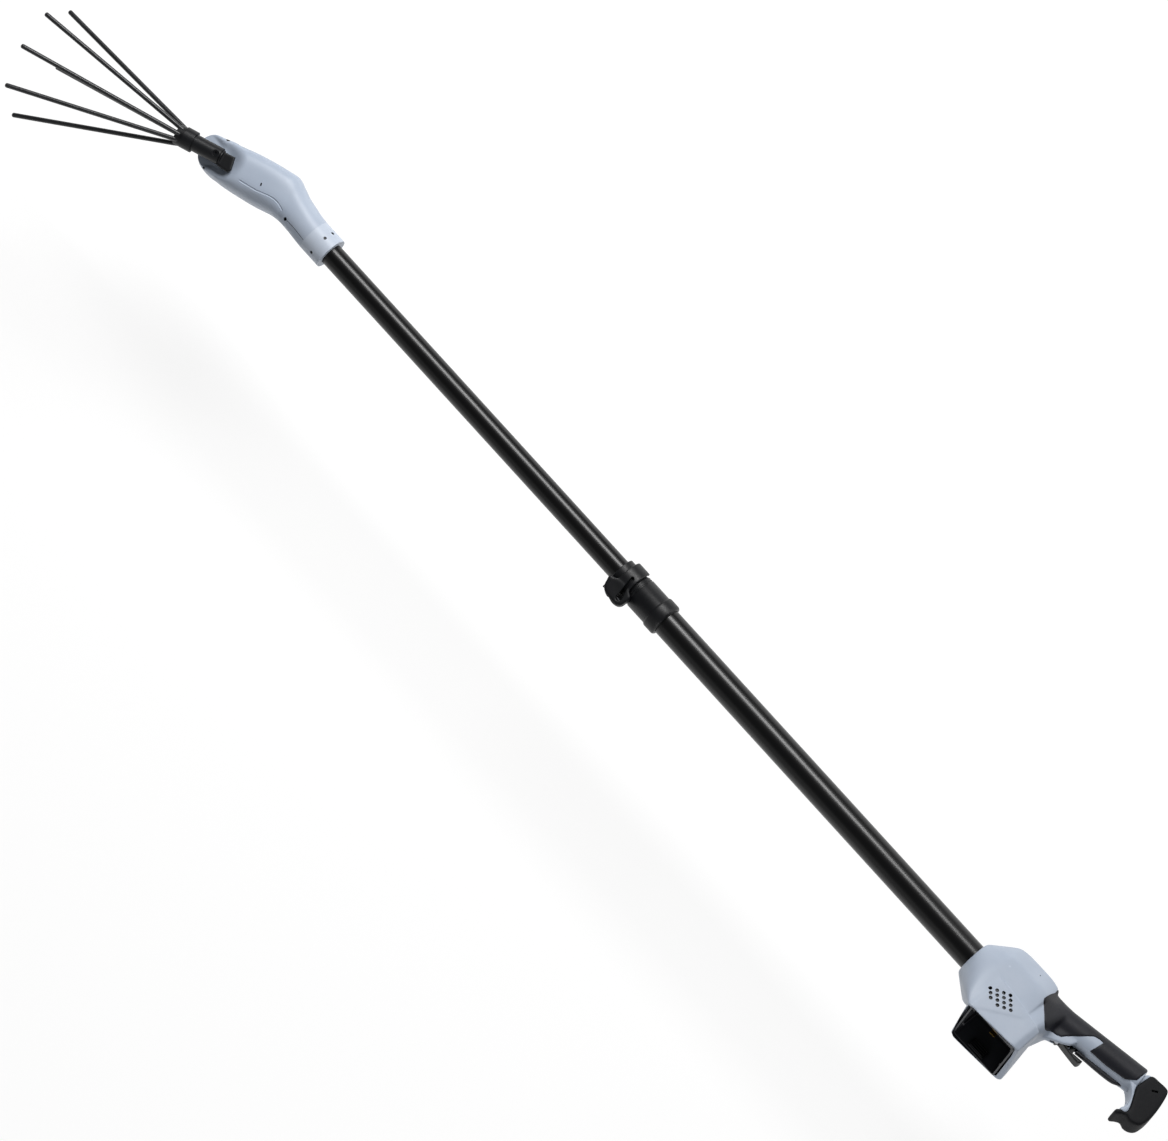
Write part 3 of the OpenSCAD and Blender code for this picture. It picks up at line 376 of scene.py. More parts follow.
def crease(obj: bpy.types.Object, degrees: float) -> None:
    """Marks edges sharper than an angle, so that smooth shading stops there."""
    work = bmesh.new()
    work.from_mesh(obj.data)
    limit = math.radians(degrees)
    for edge in work.edges:
        edge.smooth = len(edge.link_faces) == 2 and edge.calc_face_angle(0.0) < limit
    work.to_mesh(obj.data)
    work.free()
    obj.data.shade_smooth()


def cut(obj: bpy.types.Object, cutter: bpy.types.Object, keep: bool = False) -> None:
    """Takes one solid out of another.

    Args:
        obj: The solid that is cut.
        cutter: The solid that is taken out.
        keep: Whether the cutter stays for another cut.
    """
    step = obj.modifiers.new("cut", "BOOLEAN")
    step.operation = "DIFFERENCE"
    step.object = cutter
    step.solver = "EXACT"
    step.material_mode = "TRANSFER"
    freeze(obj)
    if not keep:
        discard(cutter)


def place(obj: bpy.types.Object, frame_of: Matrix) -> None:
    """Moves a mesh from a sub-assembly's millimetres to the shared frame in metres."""
    obj.data.transform(Matrix.Scale(MM, 4) @ frame_of)
    obj.data.update()


def dress(obj: bpy.types.Object, finish: Finish) -> None:
    """Gives an object one finish on its first slot."""
    if obj.data.materials:
        obj.data.materials[0] = finish.material()
    else:
        obj.data.materials.append(finish.material())


def mount(obj: bpy.types.Object, body: Body, slot: Slot, *nodes: str) -> None:
    """Rides a piece on its body and names the solids that it stands for.

    Args:
        obj: The finished piece.
        body: The body that carries it.
        slot: The record's material slot, not used.
        *nodes: The solids that it replaces.
    """
    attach(obj, body.value)
    if nodes:
        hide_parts(*nodes)
    LOG.info("%s: %d faces on %s for %s", obj.name, len(obj.data.polygons), body.value,
             ", ".join(nodes) or "no node")


def install(obj: bpy.types.Object, frame_of: Matrix, finish: Finish, body: Body, slot: Slot, *nodes: str,
            sharp: float = 0.0) -> None:
    """Puts a shaped piece in place, dresses it and mounts it.

    Args:
        obj: The piece, in its sub-assembly's millimetres.
        frame_of: The sub-assembly's frame.
        finish: Its surface.
        body: The body that carries it.
        slot: The record's material slot, not used.
        *nodes: The solids that it replaces.
        sharp: The angle from which its edges stay sharp, or zero for a smooth piece.
    """
    place(obj, frame_of)
    if sharp:
        crease(obj, sharp)
    dress(obj, finish)
    mount(obj, body, slot, *nodes)


def loft(rings: np.ndarray) -> tuple[np.ndarray, list[list[int]]]:
    """Skins a run of closed rings and closes both ends.

    Args:
        rings: Points by ring and place on the ring.

    Returns:
        Points and faces.
    """
    count, around, _ = rings.shape
    faces = [[i * around + j, (i + 1) * around + j, (i + 1) * around + (j + 1) % around,
              i * around + (j + 1) % around] for i in range(count - 1) for j in range(around)]
    faces.append(list(range(around)))
    faces.append([(count - 1) * around + j for j in reversed(range(around))])
    return rings.reshape(-1, 3), faces


def sweep(middle: np.ndarray, side: np.ndarray, up: np.ndarray, radius: float, sides: int) -> np.ndarray:
    """Rings of a round section along a path.

    Args:
        middle: Points of the path.
        side: Directions beside the path, one for each point.
        up: Directions square to both.
        radius: Radius of the section.
        sides: Points on each ring.

    Returns:
        Points by ring and place on the ring.
    """
    angles = np.linspace(0, 2 * math.pi, sides, endpoint=False)[None, :, None]
    return middle[:, None] + radius * (np.cos(angles) * side[:, None] + np.sin(angles) * up[:, None])


def spline(knots: np.ndarray, places: np.ndarray) -> np.ndarray:
    """A smooth curve through knots.

    Args:
        knots: Values at whole-number places, one row each.
        places: Places between zero and the last knot.

    Returns:
        Values at those places.
    """
    knots = np.asarray(knots, float)
    padded = np.concatenate([2 * knots[:1] - knots[1:2], knots, 2 * knots[-1:] - knots[-2:-1]])
    first = np.clip(places.astype(int), 0, len(knots) - 2)
    t = (places - first).reshape(-1, *[1] * (knots.ndim - 1))
    a, b, c, d = (padded[first + k] for k in range(4))
    return 0.5 * (2 * b + (c - a) * t + (2 * a - 5 * b + 4 * c - d) * t ** 2 + (3 * b - a - 3 * c + d) * t ** 3)


def smooth_loop(corners: Sequence[Sequence[float]], between: int = 8) -> np.ndarray:
    """A smooth closed outline through corner points, with some points between them."""
    flat = np.array(corners, float)
    wrapped = np.concatenate([flat[-2:], flat, flat[:3]])
    return spline(wrapped, np.linspace(2, 2 + len(flat), len(flat) * between, endpoint=False))


def lathe(profile: Sequence[Sequence[float]], sides: int = 128) -> tuple[np.ndarray, list[list[int]]]:
    """Turns a closed profile of places and radii round the X axis.

    Args:
        profile: Places along X and radii, in order round the section.
        sides: Steps of a full turn.

    Returns:
        Points and faces.
    """
    count = len(profile)
    points = [(x, r * math.cos(a), r * math.sin(a)) for a in np.linspace(0, 2 * math.pi, sides, endpoint=False)
              for x, r in profile]
    faces = [[i * count + j, i * count + (j + 1) % count, (i + 1) % sides * count + (j + 1) % count,
              (i + 1) % sides * count + j] for i in range(sides) for j in range(count)]
    return np.array(points), faces


def rod(radius: float, start: Sequence[float], end: Sequence[float], sides: int = 32) -> bpy.types.Object:
    """A plain round cutter between two points."""
    axis = Vector(end) - Vector(start)
    basis = axis.to_track_quat("Z", "Y").to_matrix()
    angles = np.linspace(0, 2 * math.pi, sides, endpoint=False)
    ring = [basis @ Vector((radius * math.cos(a), radius * math.sin(a), 0)) for a in angles]
    rings = np.array([[list(Vector(p) + r) for r in ring] for p in (start, end)])
    return piece("cutter", *loft(rings))


def prism(outline: Sequence[Sequence[float]], low: float, high: float) -> bpy.types.Object:
    """A straight prism of an outline in X and Y between two heights."""
    rings = np.array([[[x, y, z] for x, y in outline] for z in (low, high)])
    return piece("cutter", *loft(rings))


# Moulded forms, as smooth distance fields that are netted into a mesh


def spacing(step: float) -> float:
    return step * 1


def soft_max(distances: np.ndarray, soft: float) -> np.ndarray:
    """The largest of several distances, rounded where they meet."""
    top = distances.max(axis=0)
    return top + soft * np.log(np.exp((distances - top) / soft).sum(axis=0))


def soft_union(fields: Sequence[Field], soft: float) -> Field:
    """Several forms as one, with a fillet where they meet."""
    return lambda p: -soft_max(-np.stack([f(p) for f in fields]), soft)


def hull_field(points: Sequence[Sequence[float]], soft: float) -> Field:
    """The convex form through points, with rounded edges.

    Args:
        points: Corner points.
        soft: How far the rounding reaches, in millimetres.

    Returns:
        The form's distance field.
    """
    work = bmesh.new()
    for p in points:
        work.verts.new(p)
    bmesh.ops.convex_hull(work, input=work.verts, use_existing_faces=False)
    work.normal_update()
    middle = np.mean([list(v.co) for v in work.verts], axis=0)
    planes = set()
    for face in work.faces:
        normal = np.array(face.normal)
        offset = float(normal @ np.array(face.calc_center_median()))
        if normal @ middle > offset:
            normal, offset = -normal, -offset
        if face.calc_area() > 1e-6:
            planes.add((*np.round(normal, 3), round(offset, 1)))
    work.free()
    table = np.array(sorted(planes))
    return lambda p: soft_max(table[:, :3] @ p.T - table[:, 3:], soft)


def outline_distance(points: np.ndarray, outline: np.ndarray) -> np.ndarray:
    """Distance of flat points from a closed outline, negative inside.

    Args:
        points: Points in two columns.
        outline: Corner points in order.

    Returns:
        One distance for each point.
    """
    best = np.full(len(points), np.inf)
    inside = np.zeros(len(points), bool)
    for a, b in zip(outline, np.roll(outline, -1, axis=0)):
        edge, rel = b - a, points - a
        share = np.clip(rel @ edge / (edge @ edge), 0, 1)
        best = np.minimum(best, np.hypot(*(rel - share[:, None] * edge).T))
        crosses = (a[1] > points[:, 1]) != (b[1] > points[:, 1])
        if a[1] != b[1]:
            inside ^= crosses & (points[:, 0] < a[0] + (points[:, 1] - a[1]) * (b[0] - a[0]) / (b[1] - a[1]))
    return np.where(inside, -best, best)


def slab_field(outline: Sequence[Sequence[float]], half: float, soft: float) -> Field:
    """An outline in X and Y, thickened both ways along Z, with rounded edges."""
    flat = np.array(outline, float)
    return lambda p: soft_max(np.stack([outline_distance(p[:, :2], flat), np.abs(p[:, 2]) - half]), soft)


def net(form: Field, low: Sequence[float], high: Sequence[float], step: float) -> tuple[np.ndarray, np.ndarray]:
    """Nets a form's surface with four-sided faces.

    Args:
        form: The distance field.
        low: Lowest corner of the space to look in.
        high: Highest corner.
        step: Spacing of the net.

    Returns:
        Points and faces.
    """
    axes = [np.arange(a, b + step, step) for a, b in zip(low, high)]
    shape = tuple(len(a) for a in axes)
    flat = np.stack(np.meshgrid(axes[1], axes[2], indexing="ij"), -1).reshape(-1, 2)
    inside = np.stack([(form(np.column_stack([np.full(len(flat), x), flat])) < 0).reshape(shape[1:])
                       for x in axes[0]])
    corners = np.zeros([n - 1 for n in shape], int)
    for shift in product((0, 1), repeat=3):
        corners += inside[tuple(slice(s, n - 1 + s) for s, n in zip(shift, shape))]
    mixed = (corners > 0) & (corners < 8)
    number = np.full(corners.shape, -1)
    number[mixed] = np.arange(mixed.sum())
    cells = np.argwhere(mixed)
    points = np.column_stack([axes[k][cells[:, k]] + step / 2 for k in range(3)])
    for _ in range(5):
        points = points + np.clip(surface_step(form, points), -step, step)
    faces = []
    for axis in range(3):
        first, second = (axis + 1) % 3, (axis + 2) % 3
        before = np.take(inside, range(shape[axis] - 1), axis)
        after = np.take(inside, range(1, shape[axis]), axis)
        edges = np.argwhere(before != after)
        corner = []
        for a, b in ((1, 1), (0, 1), (0, 0), (1, 0)):
            cell = edges.copy()
            cell[:, first] -= a
            cell[:, second] -= b
            corner.append(number[tuple(cell.T)])
        quads = np.column_stack(corner)
        backward = ~before[tuple(edges.T)]
        quads[backward] = quads[backward][:, ::-1]
        faces.append(quads)
    return points, np.concatenate(faces)


def surface_step(form: Field, points: np.ndarray, reach: float = 0.02) -> np.ndarray:
    """The step that takes points onto a form's surface."""
    here = form(points)
    slope = np.column_stack([form(points + reach * unit) - here for unit in np.eye(3)]) / reach
    return -(here / np.maximum((slope ** 2).sum(axis=1), 0.05))[:, None] * slope


def normals(form: Field, points: np.ndarray) -> np.ndarray:
    """Outward directions of a form at points on it."""
    slope = np.column_stack([form(points + 0.05 * unit) - form(points - 0.05 * unit) for unit in np.eye(3)])
    return slope / np.linalg.norm(slope, axis=1)[:, None]


def trim(points: np.ndarray, faces: np.ndarray, level: np.ndarray) -> tuple[np.ndarray, np.ndarray, np.ndarray]:
    """Keeps the part of a net where a level is below zero, cut along its zero line.

    Args:
        points: The net's points.
        faces: Its four-sided faces.
        level: One value for each point.

    Returns:
        Points, three-sided faces and levels of what is kept.
    """
    tris = np.concatenate([faces[:, [0, 1, 2]], faces[:, [0, 2, 3]]])
    kept = level < 0
    count = kept[tris].sum(axis=1)
    whole = tris[count == 3]
    lone, pair = tris[count == 1], tris[count == 2]
    lone = np.take_along_axis(lone, (kept[lone].argmax(axis=1)[:, None] + np.arange(3)) % 3, axis=1)
    pair = np.take_along_axis(pair, ((~kept[pair]).argmax(axis=1)[:, None] + np.arange(3)) % 3, axis=1)
    ends = np.concatenate([lone[:, [0, 1]], lone[:, [0, 2]], pair[:, [0, 1]], pair[:, [0, 2]]])
    edges, number = np.unique(np.sort(ends, axis=1), axis=0, return_inverse=True)
    number = number.reshape(-1) + len(points)
    share = level[edges[:, 0]] / (level[edges[:, 0]] - level[edges[:, 1]])
    fresh = points[edges[:, 0]] + share[:, None] * (points[edges[:, 1]] - points[edges[:, 0]])
    one, two = len(lone), len(pair)
    la, lb, pa, pb = (number[:one], number[one:2 * one], number[2 * one:2 * one + two], number[2 * one + two:])
    result = np.concatenate([whole, np.column_stack([lone[:, 0], la, lb]),
                             np.column_stack([pa, pair[:, 1], pair[:, 2]]), np.column_stack([pa, pair[:, 2], pb])])
    used, compact = np.unique(result, return_inverse=True)
    everything = np.concatenate([points, fresh])
    levels = np.concatenate([level, np.zeros(len(fresh))])
    return everything[used], compact.reshape(-1, 3), levels[used]


def block(low: Sequence[float], high: Sequence[float]) -> bpy.types.Object:
    """A plain box cutter between two corners."""
    (x0, y0, z0), (x1, y1, z1) = low, high
    return prism([(x0, y0), (x1, y0), (x1, y1), (x0, y1)], z0, z1)


def halves(whole: bpy.types.Object, core: bpy.types.Object, names: tuple[str, str], split: float,
           gap: float) -> tuple[bpy.types.Object, bpy.types.Object]:
    """Hollows a closed form and parts it in two along its own Z.

    Args:
        whole: The closed form, which is used up.
        core: The form of the hollow, which is used up.
        names: Names of the upper and the lower half.
        split: Height of the parting plane.
        gap: Half the gap between the halves.

    Returns:
        The upper and the lower half.
    """
    cut(whole, core)
    far = 5000.0
    lower = whole.copy()
    lower.data = whole.data.copy()
    bpy.context.scene.collection.objects.link(lower)
    whole.name, lower.name = names
    cut(whole, block((-far, -far, -far), (far, far, split + gap)))
    cut(lower, block((-far, -far, split - gap), (far, far, far)))
    return whole, lower


# Sub-assemblies


@dataclass
class RakeHead:
    """The head casing in two shells, with its dish, groove and screw holes. Sizes are in millimetres."""

    upper_edge: Points = (
        (-1143.5, 21.0), (-1155, 22.0), (-1168, 24.0), (-1180, 26.1), (-1192, 29.7), (-1204, 32.7), (-1215.4, 30.2),
        (-1236, 24.1), (-1256.6, 17), (-1277.2, 8.4), (-1287.5, 4.9), (-1297, 0.3), (-1307, -4), (-1311.5, -8.5),
        (-1314, -14), (-1314.8, -19), (-1315.2, -22), (-1315.3, -24.4))
    lower_edge: Points = (
        (-1143.5, -21.0), (-1153.6, -20.5), (-1165, -19.6), (-1176, -19.1), (-1185, -19.2), (-1190, -19.6),
        (-1200, -21.5), (-1220.5, -28.8), (-1241, -34.8), (-1262, -40.2), (-1273, -42.1), (-1283, -44),
        (-1294, -44), (-1301, -41.5), (-1306, -37), (-1310, -32), (-1312.6, -29), (-1314.3, -26.9))
    front: Row = (21, 21.2, 21.7, 22.6, 24, 26, 27.4, 28, 28, 28, 28, 28, 28, 27.4, 26, 24.5, 20, 12)
    back: Row = (21, 21.5, 23, 26, 30, 34.5, 38, 41, 41.6, 41.6, 41.6, 41.6, 41, 40, 38, 35, 28, 17)
    square: Row = (2, 2.05, 2.15, 2.3, 2.5, 2.8, 3, 3.2, 3.2, 3.2, 3.2, 3.2, 3.2, 3.1, 3, 3, 2.8, 2.4)
    hollow_ends: tuple = (0.3, 2.6)
    dish_at: tuple = (-1286.7, -21.7)
    hub_room: float = 11.0
    hub_swing: float = 0.4
    dish_edge: tuple = (15.0, 25.0)
    dish_z: float = 16.0
    dish_turn: float = 198.8
    dish_blend: float = 16.0
    press_at: tuple = (-1220.0, -23.0)
    press_way: tuple = (0.93, 0.36)
    press_size: tuple = (17.0, 4.5)
    press_depth: float = 1.8
    split_z: float = 8.0
    split_gap: float = 0.2
    wall: float = 2.2
    groove: Points = (
        (-1246, -22.5), (-1234, -19.2), (-1222, -15.4), (-1207, -8.8), (-1196, -6.9), (-1186, -8.8))
    groove_r: float = 1.3
    groove_lift: float = 0.4
    parting: Points = ((-1175, -12.4), (-1165, -12.3), (-1155, -12.8), (-1144.2, -13.6))
    parting_r: float = 0.4
    parting_lift: float = 0.1
    holes: Points = ((-1293.5, 0.6, 2.2), (-1288.5, -43.0, 1.6), (-1177.1, -12.7, 1.9))
    hole_reach: tuple = (4.0, 5.0)
    slot: tuple = ((-1225.6, -5.2), (-1223.6, -8.4))
    slot_half: float = 0.9
    slot_z: tuple = (20.0, 34.0)
    seal_r: float = 9.1
    seal_z: tuple = (5.0, 40.0)
    seal_sides: int = 64
    trench_steps: int = 60
    trench_sides: int = 12
    look_from: float = 200.0
    rings: int = 200
    around: int = 176

    def form(self, inset: float = 0.0) -> bpy.types.Object:
        """The closed casing as one smooth form, or its hollow at an inset."""
        last = len(self.upper_edge) - 1
        start, stop = self.hollow_ends if inset else (0.0, 0.0)
        places = np.linspace(start, last - stop, self.rings)
        upper, lower = spline(self.upper_edge, places), spline(self.lower_edge, places)
        front, back, square = (spline(np.array(v, float), places) for v in (self.front, self.back, self.square))
        front, back = front - inset, back - inset
        angles = np.linspace(0, 2 * math.pi, self.around, endpoint=False)
        c, s = np.cos(angles), np.sin(angles)
        power = 2 / square[:, None]
        across = np.sign(c) * np.abs(c) ** power
        high = np.sign(s) * np.abs(s) ** power * np.where(s > 0, front[:, None], back[:, None])
        middle, half = (upper + lower) / 2, (upper - lower) / 2
        half = half * (1 - inset / np.linalg.norm(half, axis=1))[:, None]
        flat = middle[:, None, :] + across[:, :, None] * half[:, None, :]
        rings = np.concatenate([flat, high[:, :, None]], axis=2)
        rings[..., 2] = self.relief(rings[..., 0], rings[..., 1], rings[..., 2], self.dish_z - inset)
        return piece("casing_form", *loft(rings))

    def relief(self, x: np.ndarray, y: np.ndarray, z: np.ndarray, dish: float) -> np.ndarray:
        """Heights after the dish and the shallow hollow below the groove are pressed in."""
        c, k = math.cos(math.radians(self.dish_turn)), math.sin(math.radians(self.dish_turn))
        dx, dy = x - self.dish_at[0], y - self.dish_at[1]
        ahead, beside = dx * c + dy * k, dy * c - dx * k
        front = (np.abs(beside) - self.hub_room - self.hub_swing * np.maximum(ahead, 0)) / self.dish_edge[0]
        behind = (np.hypot(ahead, beside) - self.hub_room) / self.dish_edge[1]
        blend = np.clip(0.5 - ahead / self.dish_blend, 0, 1)
        rise = np.clip(front * (1 - blend) + behind * blend, 0, 1)
        rise = rise * rise * (3 - 2 * rise)
        pressed = np.where(z > dish, dish + (z - dish) * rise, z)
        c, k = self.press_way
        dx, dy = x - self.press_at[0], y - self.press_at[1]
        along, over = dx * c + dy * k, -dx * k + dy * c
        long, wide = self.press_size
        hollow = self.press_depth * np.exp(-(along / long) ** 2 - (over / wide) ** 2)
        return np.where(z > self.split_z, pressed - hollow, pressed)

    def surface_z(self, casing: bpy.types.Object, x: float, y: float) -> float:
        """Height of the casing's front face at a place."""
        hit, where, _, _ = casing.ray_cast(Vector((x, y, self.look_from)), Vector((0, 0, -1)))
        return where.z if hit else 0.0

    def build(self) -> None:
        """Builds both shells and dresses them."""
        casing = self.form()
        bpy.context.view_layer.update()
        tools = self.cutters(casing)
        front, rear = halves(casing, self.form(self.wall), ("head_casing_front", "head_casing_rear"), self.split_z,
                             self.split_gap)
        for tool in tools:
            cut(front, tool)
        cut(front, rod(self.seal_r, *((*self.dish_at, z) for z in self.seal_z), self.seal_sides))
        for shell, node in ((front, "head_front_shell"), (rear, "head_rear_shell")):
            install(shell, WORLD, ABS, Body.HEAD, Slot.GREY, node, sharp=42)

    def cutters(self, casing: bpy.types.Object) -> list[bpy.types.Object]:
        """Groove, slot and screw holes of the front shell."""
        tools = [self.trench(casing, self.groove, self.groove_r, self.groove_lift),
                 self.trench(casing, self.parting, self.parting_r, self.parting_lift)]
        dress(tools[0], ABS)
        for x, y, r in self.holes:
            z = self.surface_z(casing, x, y)
            tools.append(rod(r, (x, y, z - self.hole_reach[0]), (x, y, z + self.hole_reach[1])))
        (x0, y0), (x1, y1) = self.slot
        along = Vector((x1 - x0, y1 - y0)).normalized()
        across = Vector((-along.y, along.x)) * self.slot_half
        corners = [(x0 + across.x, y0 + across.y), (x1 + across.x, y1 + across.y),
                   (x1 - across.x, y1 - across.y), (x0 - across.x, y0 - across.y)]
        tools.append(prism(corners, *self.slot_z))
        # The walls of the parting line, screw holes and slot are painted dark as shade
        for tool in tools[1:]:
            dress(tool, ABS_HOLLOW_SHADE)
        return tools

    def trench(self, casing: bpy.types.Object, knots: Points, radius: float, lift: float) -> bpy.types.Object:
        """A round cutter that follows a path over the casing.

        Args:
            casing: The form that it follows.
            knots: Places of the path in X and Y.
            radius: Radius of the cutter.
            lift: Height of its middle above the surface, as a share of the radius.

        Returns:
            The cutter.
        """
        flat = np.array(knots, float)
        path = spline(flat, np.linspace(0, len(flat) - 1, self.trench_steps))
        lifted = np.array([(x, y, self.surface_z(casing, x, y) + lift * radius) for x, y in path])
        step = np.gradient(lifted, axis=0)
        step /= np.linalg.norm(step, axis=1)[:, None]
        side = np.cross(step, (0, 0, 1))
        side /= np.linalg.norm(side, axis=1)[:, None]
        up = np.cross(side, step)
        return piece("trench_cutter", *loft(sweep(lifted, side, up, radius, self.trench_sides)))


@dataclass
class Rake:
    """The rake's moving dress: its tines and the tab behind the hub. Sizes are in millimetres."""

    turns: tuple = (50, 92, 134, 197, 280, 350)
    splay: float = 17.0
    foot: float = 40.5
    ring_r: float = 7.5
    length: float = 220.0
    radius: float = 2.85
    root_r: float = 2.4
    root_len: float = 16.0
    tip: float = 2.4
    tab: Points = ((-6.5, -7.2), (-21, -7.3), (-24.4, 8.3), (-22, 12.5), (-6.5, 11))
    tab_half: float = 3.0
    tab_box: tuple = ((-27, -12, -12), (-2, 15, 12))
    flange_r: float = 8.8
    flange_x: tuple = (-7.5, -5.3)
    tab_soft: float = 0.7
    flange_soft: float = 0.3
    tab_fillet: float = 0.5
    tab_step: float = 0.6
    straight: tuple = (24.0, 12.0)
    tip_flat: float = 0.12
    tip_rings: int = 6
    rings: int = 24
    sides: int = 24

    def build(self) -> None:
        """Builds and dresses every piece."""
        for number, degrees in enumerate(self.turns, 1):
            self.tine(number, math.radians(degrees))
        self.hub_tab()

    def tine(self, number: int, angle: float) -> None:
        """One straight tine with a domed tip, swelling slightly from its root."""
        c, k = math.cos(math.radians(self.splay)), math.sin(math.radians(self.splay))
        along = np.array((c, -k * math.cos(angle), k * math.sin(angle)))
        side = np.array((0, math.sin(angle), math.cos(angle)))
        up = np.cross(along, side)
        foot = np.array((self.foot, -self.ring_r * math.cos(angle), self.ring_r * math.sin(angle)))
        dome = [(self.length - self.tip + self.tip * math.sin(a), self.radius * math.cos(a))
                for a in np.linspace(0, math.pi / 2 - self.tip_flat, self.tip_rings)]
        swell = [(t, self.root_r + (self.radius - self.root_r) * t / self.root_len)
                 for t in (0.0, self.root_len / 2, self.root_len)]
        start, rest = self.straight
        shank = [(t, self.radius) for t in np.linspace(start, self.length - rest, self.rings)]
        turns = np.linspace(0, 2 * math.pi, self.sides, endpoint=False)
        rings = np.array([[foot + along * t + r * (side * math.cos(a) + up * math.sin(a)) for a in turns]
                          for t, r in (*swell, *shank, *dome)])
        made = piece(f"carbon_tine_{number}", *loft(rings))
        install(made, FAN, CARBON, Body.RAKE, Slot.CARBON, f"tine_{number}", sharp=50)

    def hub_tab(self) -> None:
        """The flat tab on its round flange, with rounded edges."""
        low, high = self.flange_x

        def flange(p: np.ndarray) -> np.ndarray:
            """The round flange."""
            return soft_max(np.stack([np.hypot(p[:, 1], p[:, 2]) - self.flange_r, p[:, 0] - high, low - p[:, 0]]),
                            self.flange_soft)

        form = soft_union([slab_field(self.tab, self.tab_half, self.tab_soft), flange], self.tab_fillet)
        made = piece("hub_tab_plate", *net(form, *self.tab_box, self.tab_step))
        install(made, RAKE, NYLON, Body.RAKE, Slot.BLACK, "hub_tab")


@dataclass
class PoleClamp:
    """The clamp sleeve and its wrap-round lever, on the pole's axis. Sizes are in millimetres."""

    middle_x: float = -587.2
    sleeve: Points = (
        (-605, 14.06), (-605, 17.6), (-604.4, 18.3), (-597.4, 18.3), (-597, 18.5), (-577.4, 18.5), (-577.3, 19.0),
        (-576.9, 19.3), (-575.6, 19.3), (-575.4, 19.9), (-574.4, 19.9), (-574.2, 19.3), (-573, 19.3),
        (-572.8, 19.9), (-571.8, 19.9), (-571.6, 19.3), (-570.5, 19.3), (-570.4, 19.8), (-569.8, 20.3),
        (-542.6, 20.3), (-541.6, 21.0), (-540.6, 21.6), (-539.6, 21.8), (-527.6, 21.8), (-526, 21.1),
        (-525.2, 20.3), (-525, 19.6), (-525, 17.56), (-566, 17.56), (-566, 14.06))
    ear_half: tuple = (8.5, 8.0)
    ear_reach: float = 30.0
    ear_root: float = 15.5
    ear_margin: float = 3.0
    ear_soft: float = 0.6
    ear_room: tuple = ((-11, -33, -11), (11, -13, 11))
    ear_step: float = 1.0
    slit: float = 1.5
    slit_x: tuple = (-605.5, -577.4)
    slit_depth: float = 60.0
    arm_in: float = 20.05
    arm_out: float = 22.9
    arm_half: float = 9.3
    arm_ends: tuple = (3.0, 150.0)
    loop: Points = (
        (-605.2, -12), (-604.4, -20), (-601.2, -26.4), (-594.6, -30.6), (-586, -32.2), (-577.4, -32),
        (-571.8, -28.8), (-569.8, -22), (-571.4, -12), (-588, -8))
    loop_z: tuple = (8.7, 22.4)
    slot: Points = (
        (-586.6, 3.4), (-583.2, 3.4), (-580.4, -10), (-576.6, -20), (-576.2, -24), (-579, -26.6), (-582.4, -24.4),
        (-584, -14))
    pin: tuple = (-25.0, 14.0)
    pin_r: float = 2.55
    eye_room: tuple = (6.5, 3.8)
    lever_box: tuple = ((-608, -35, -4), (-568, 26, 26))
    swing: float = 110.0
    swing_steps: int = 23
    swing_gap: float = 0.5
    bolt_r: float = 2.7
    saddle_r: float = 9.5
    saddle_sides: int = 96
    arm_soft: float = 0.6
    loop_soft: float = 1.3
    loop_fillet: float = 1.5
    lever_soft: float = 0.35
    lever_step: float = 0.7

    def build(self) -> None:
        """Builds and dresses the sleeve and the lever."""
        self.sleeve_body()
        self.lever()

    def sleeve_body(self) -> None:
        """The turned sleeve with its ears, slit along the clamped length."""
        made = piece("clamp_sleeve_body", *lathe(self.sleeve))
        half_x, half_z = self.ear_half
        ear_form = hull_field([(self.middle_x + a * half_x, y, b * half_z) for a in (-1, 1) for b in (-1, 1)
                               for y in (-self.ear_reach, -self.ear_root)], self.ear_soft)
        ear_box = ((self.middle_x + x, y, z) for x, y, z in self.ear_room)
        ear = piece("ear", *net(ear_form, *ear_box, self.ear_step))
        ends = [(self.middle_x + side * (half_x + self.ear_margin), *self.pin) for side in (-1, 1)]
        cut(ear, rod(self.saddle_r, *ends, self.saddle_sides))
        for part in (made, ear):
            cut(part, block((self.slit_x[0], -self.slit_depth, -self.slit), (self.slit_x[1], 0, self.slit)))
        work = bmesh.new()
        work.from_mesh(made.data)
        work.from_mesh(ear.data)
        work.to_mesh(made.data)
        work.free()
        discard(ear)
        install(made, WORLD, NYLON, Body.UNIT, Slot.BLACK, "clamp_sleeve", sharp=40)

    def swing_room(self, p: np.ndarray) -> np.ndarray:
        """How far each point of the lever stays from the ears and the bolt through its whole swing.

        Args:
            p: Points of the closed lever.

        Returns:
            The least distance on the way, below nought where a point would meet them.
        """
        half_x, half_z = self.ear_half
        ear_middle, ear_deep = (self.ear_reach + self.ear_root) / 2, (self.ear_reach - self.ear_root) / 2
        across = np.abs(p[:, 0] - self.middle_x)
        y, z = p[:, 1] - self.pin[0], p[:, 2] - self.pin[1]
        least = np.full(len(p), np.inf)
        for angle in np.radians(np.linspace(0, self.swing, self.swing_steps)):
            now_y = y * math.cos(angle) - z * math.sin(angle)
            now_z = y * math.sin(angle) + z * math.cos(angle) + self.pin[1]
            ears = np.max([across - half_x, np.abs(now_y + self.pin[0] + ear_middle) - ear_deep,
                           np.abs(now_z) - half_z, self.saddle_r - np.hypot(y, z)], axis=0)
            bolt = np.maximum(np.hypot(across, now_y) - self.bolt_r, now_z - self.pin[1])
            least = np.minimum(least, np.minimum(ears, bolt))
        return least

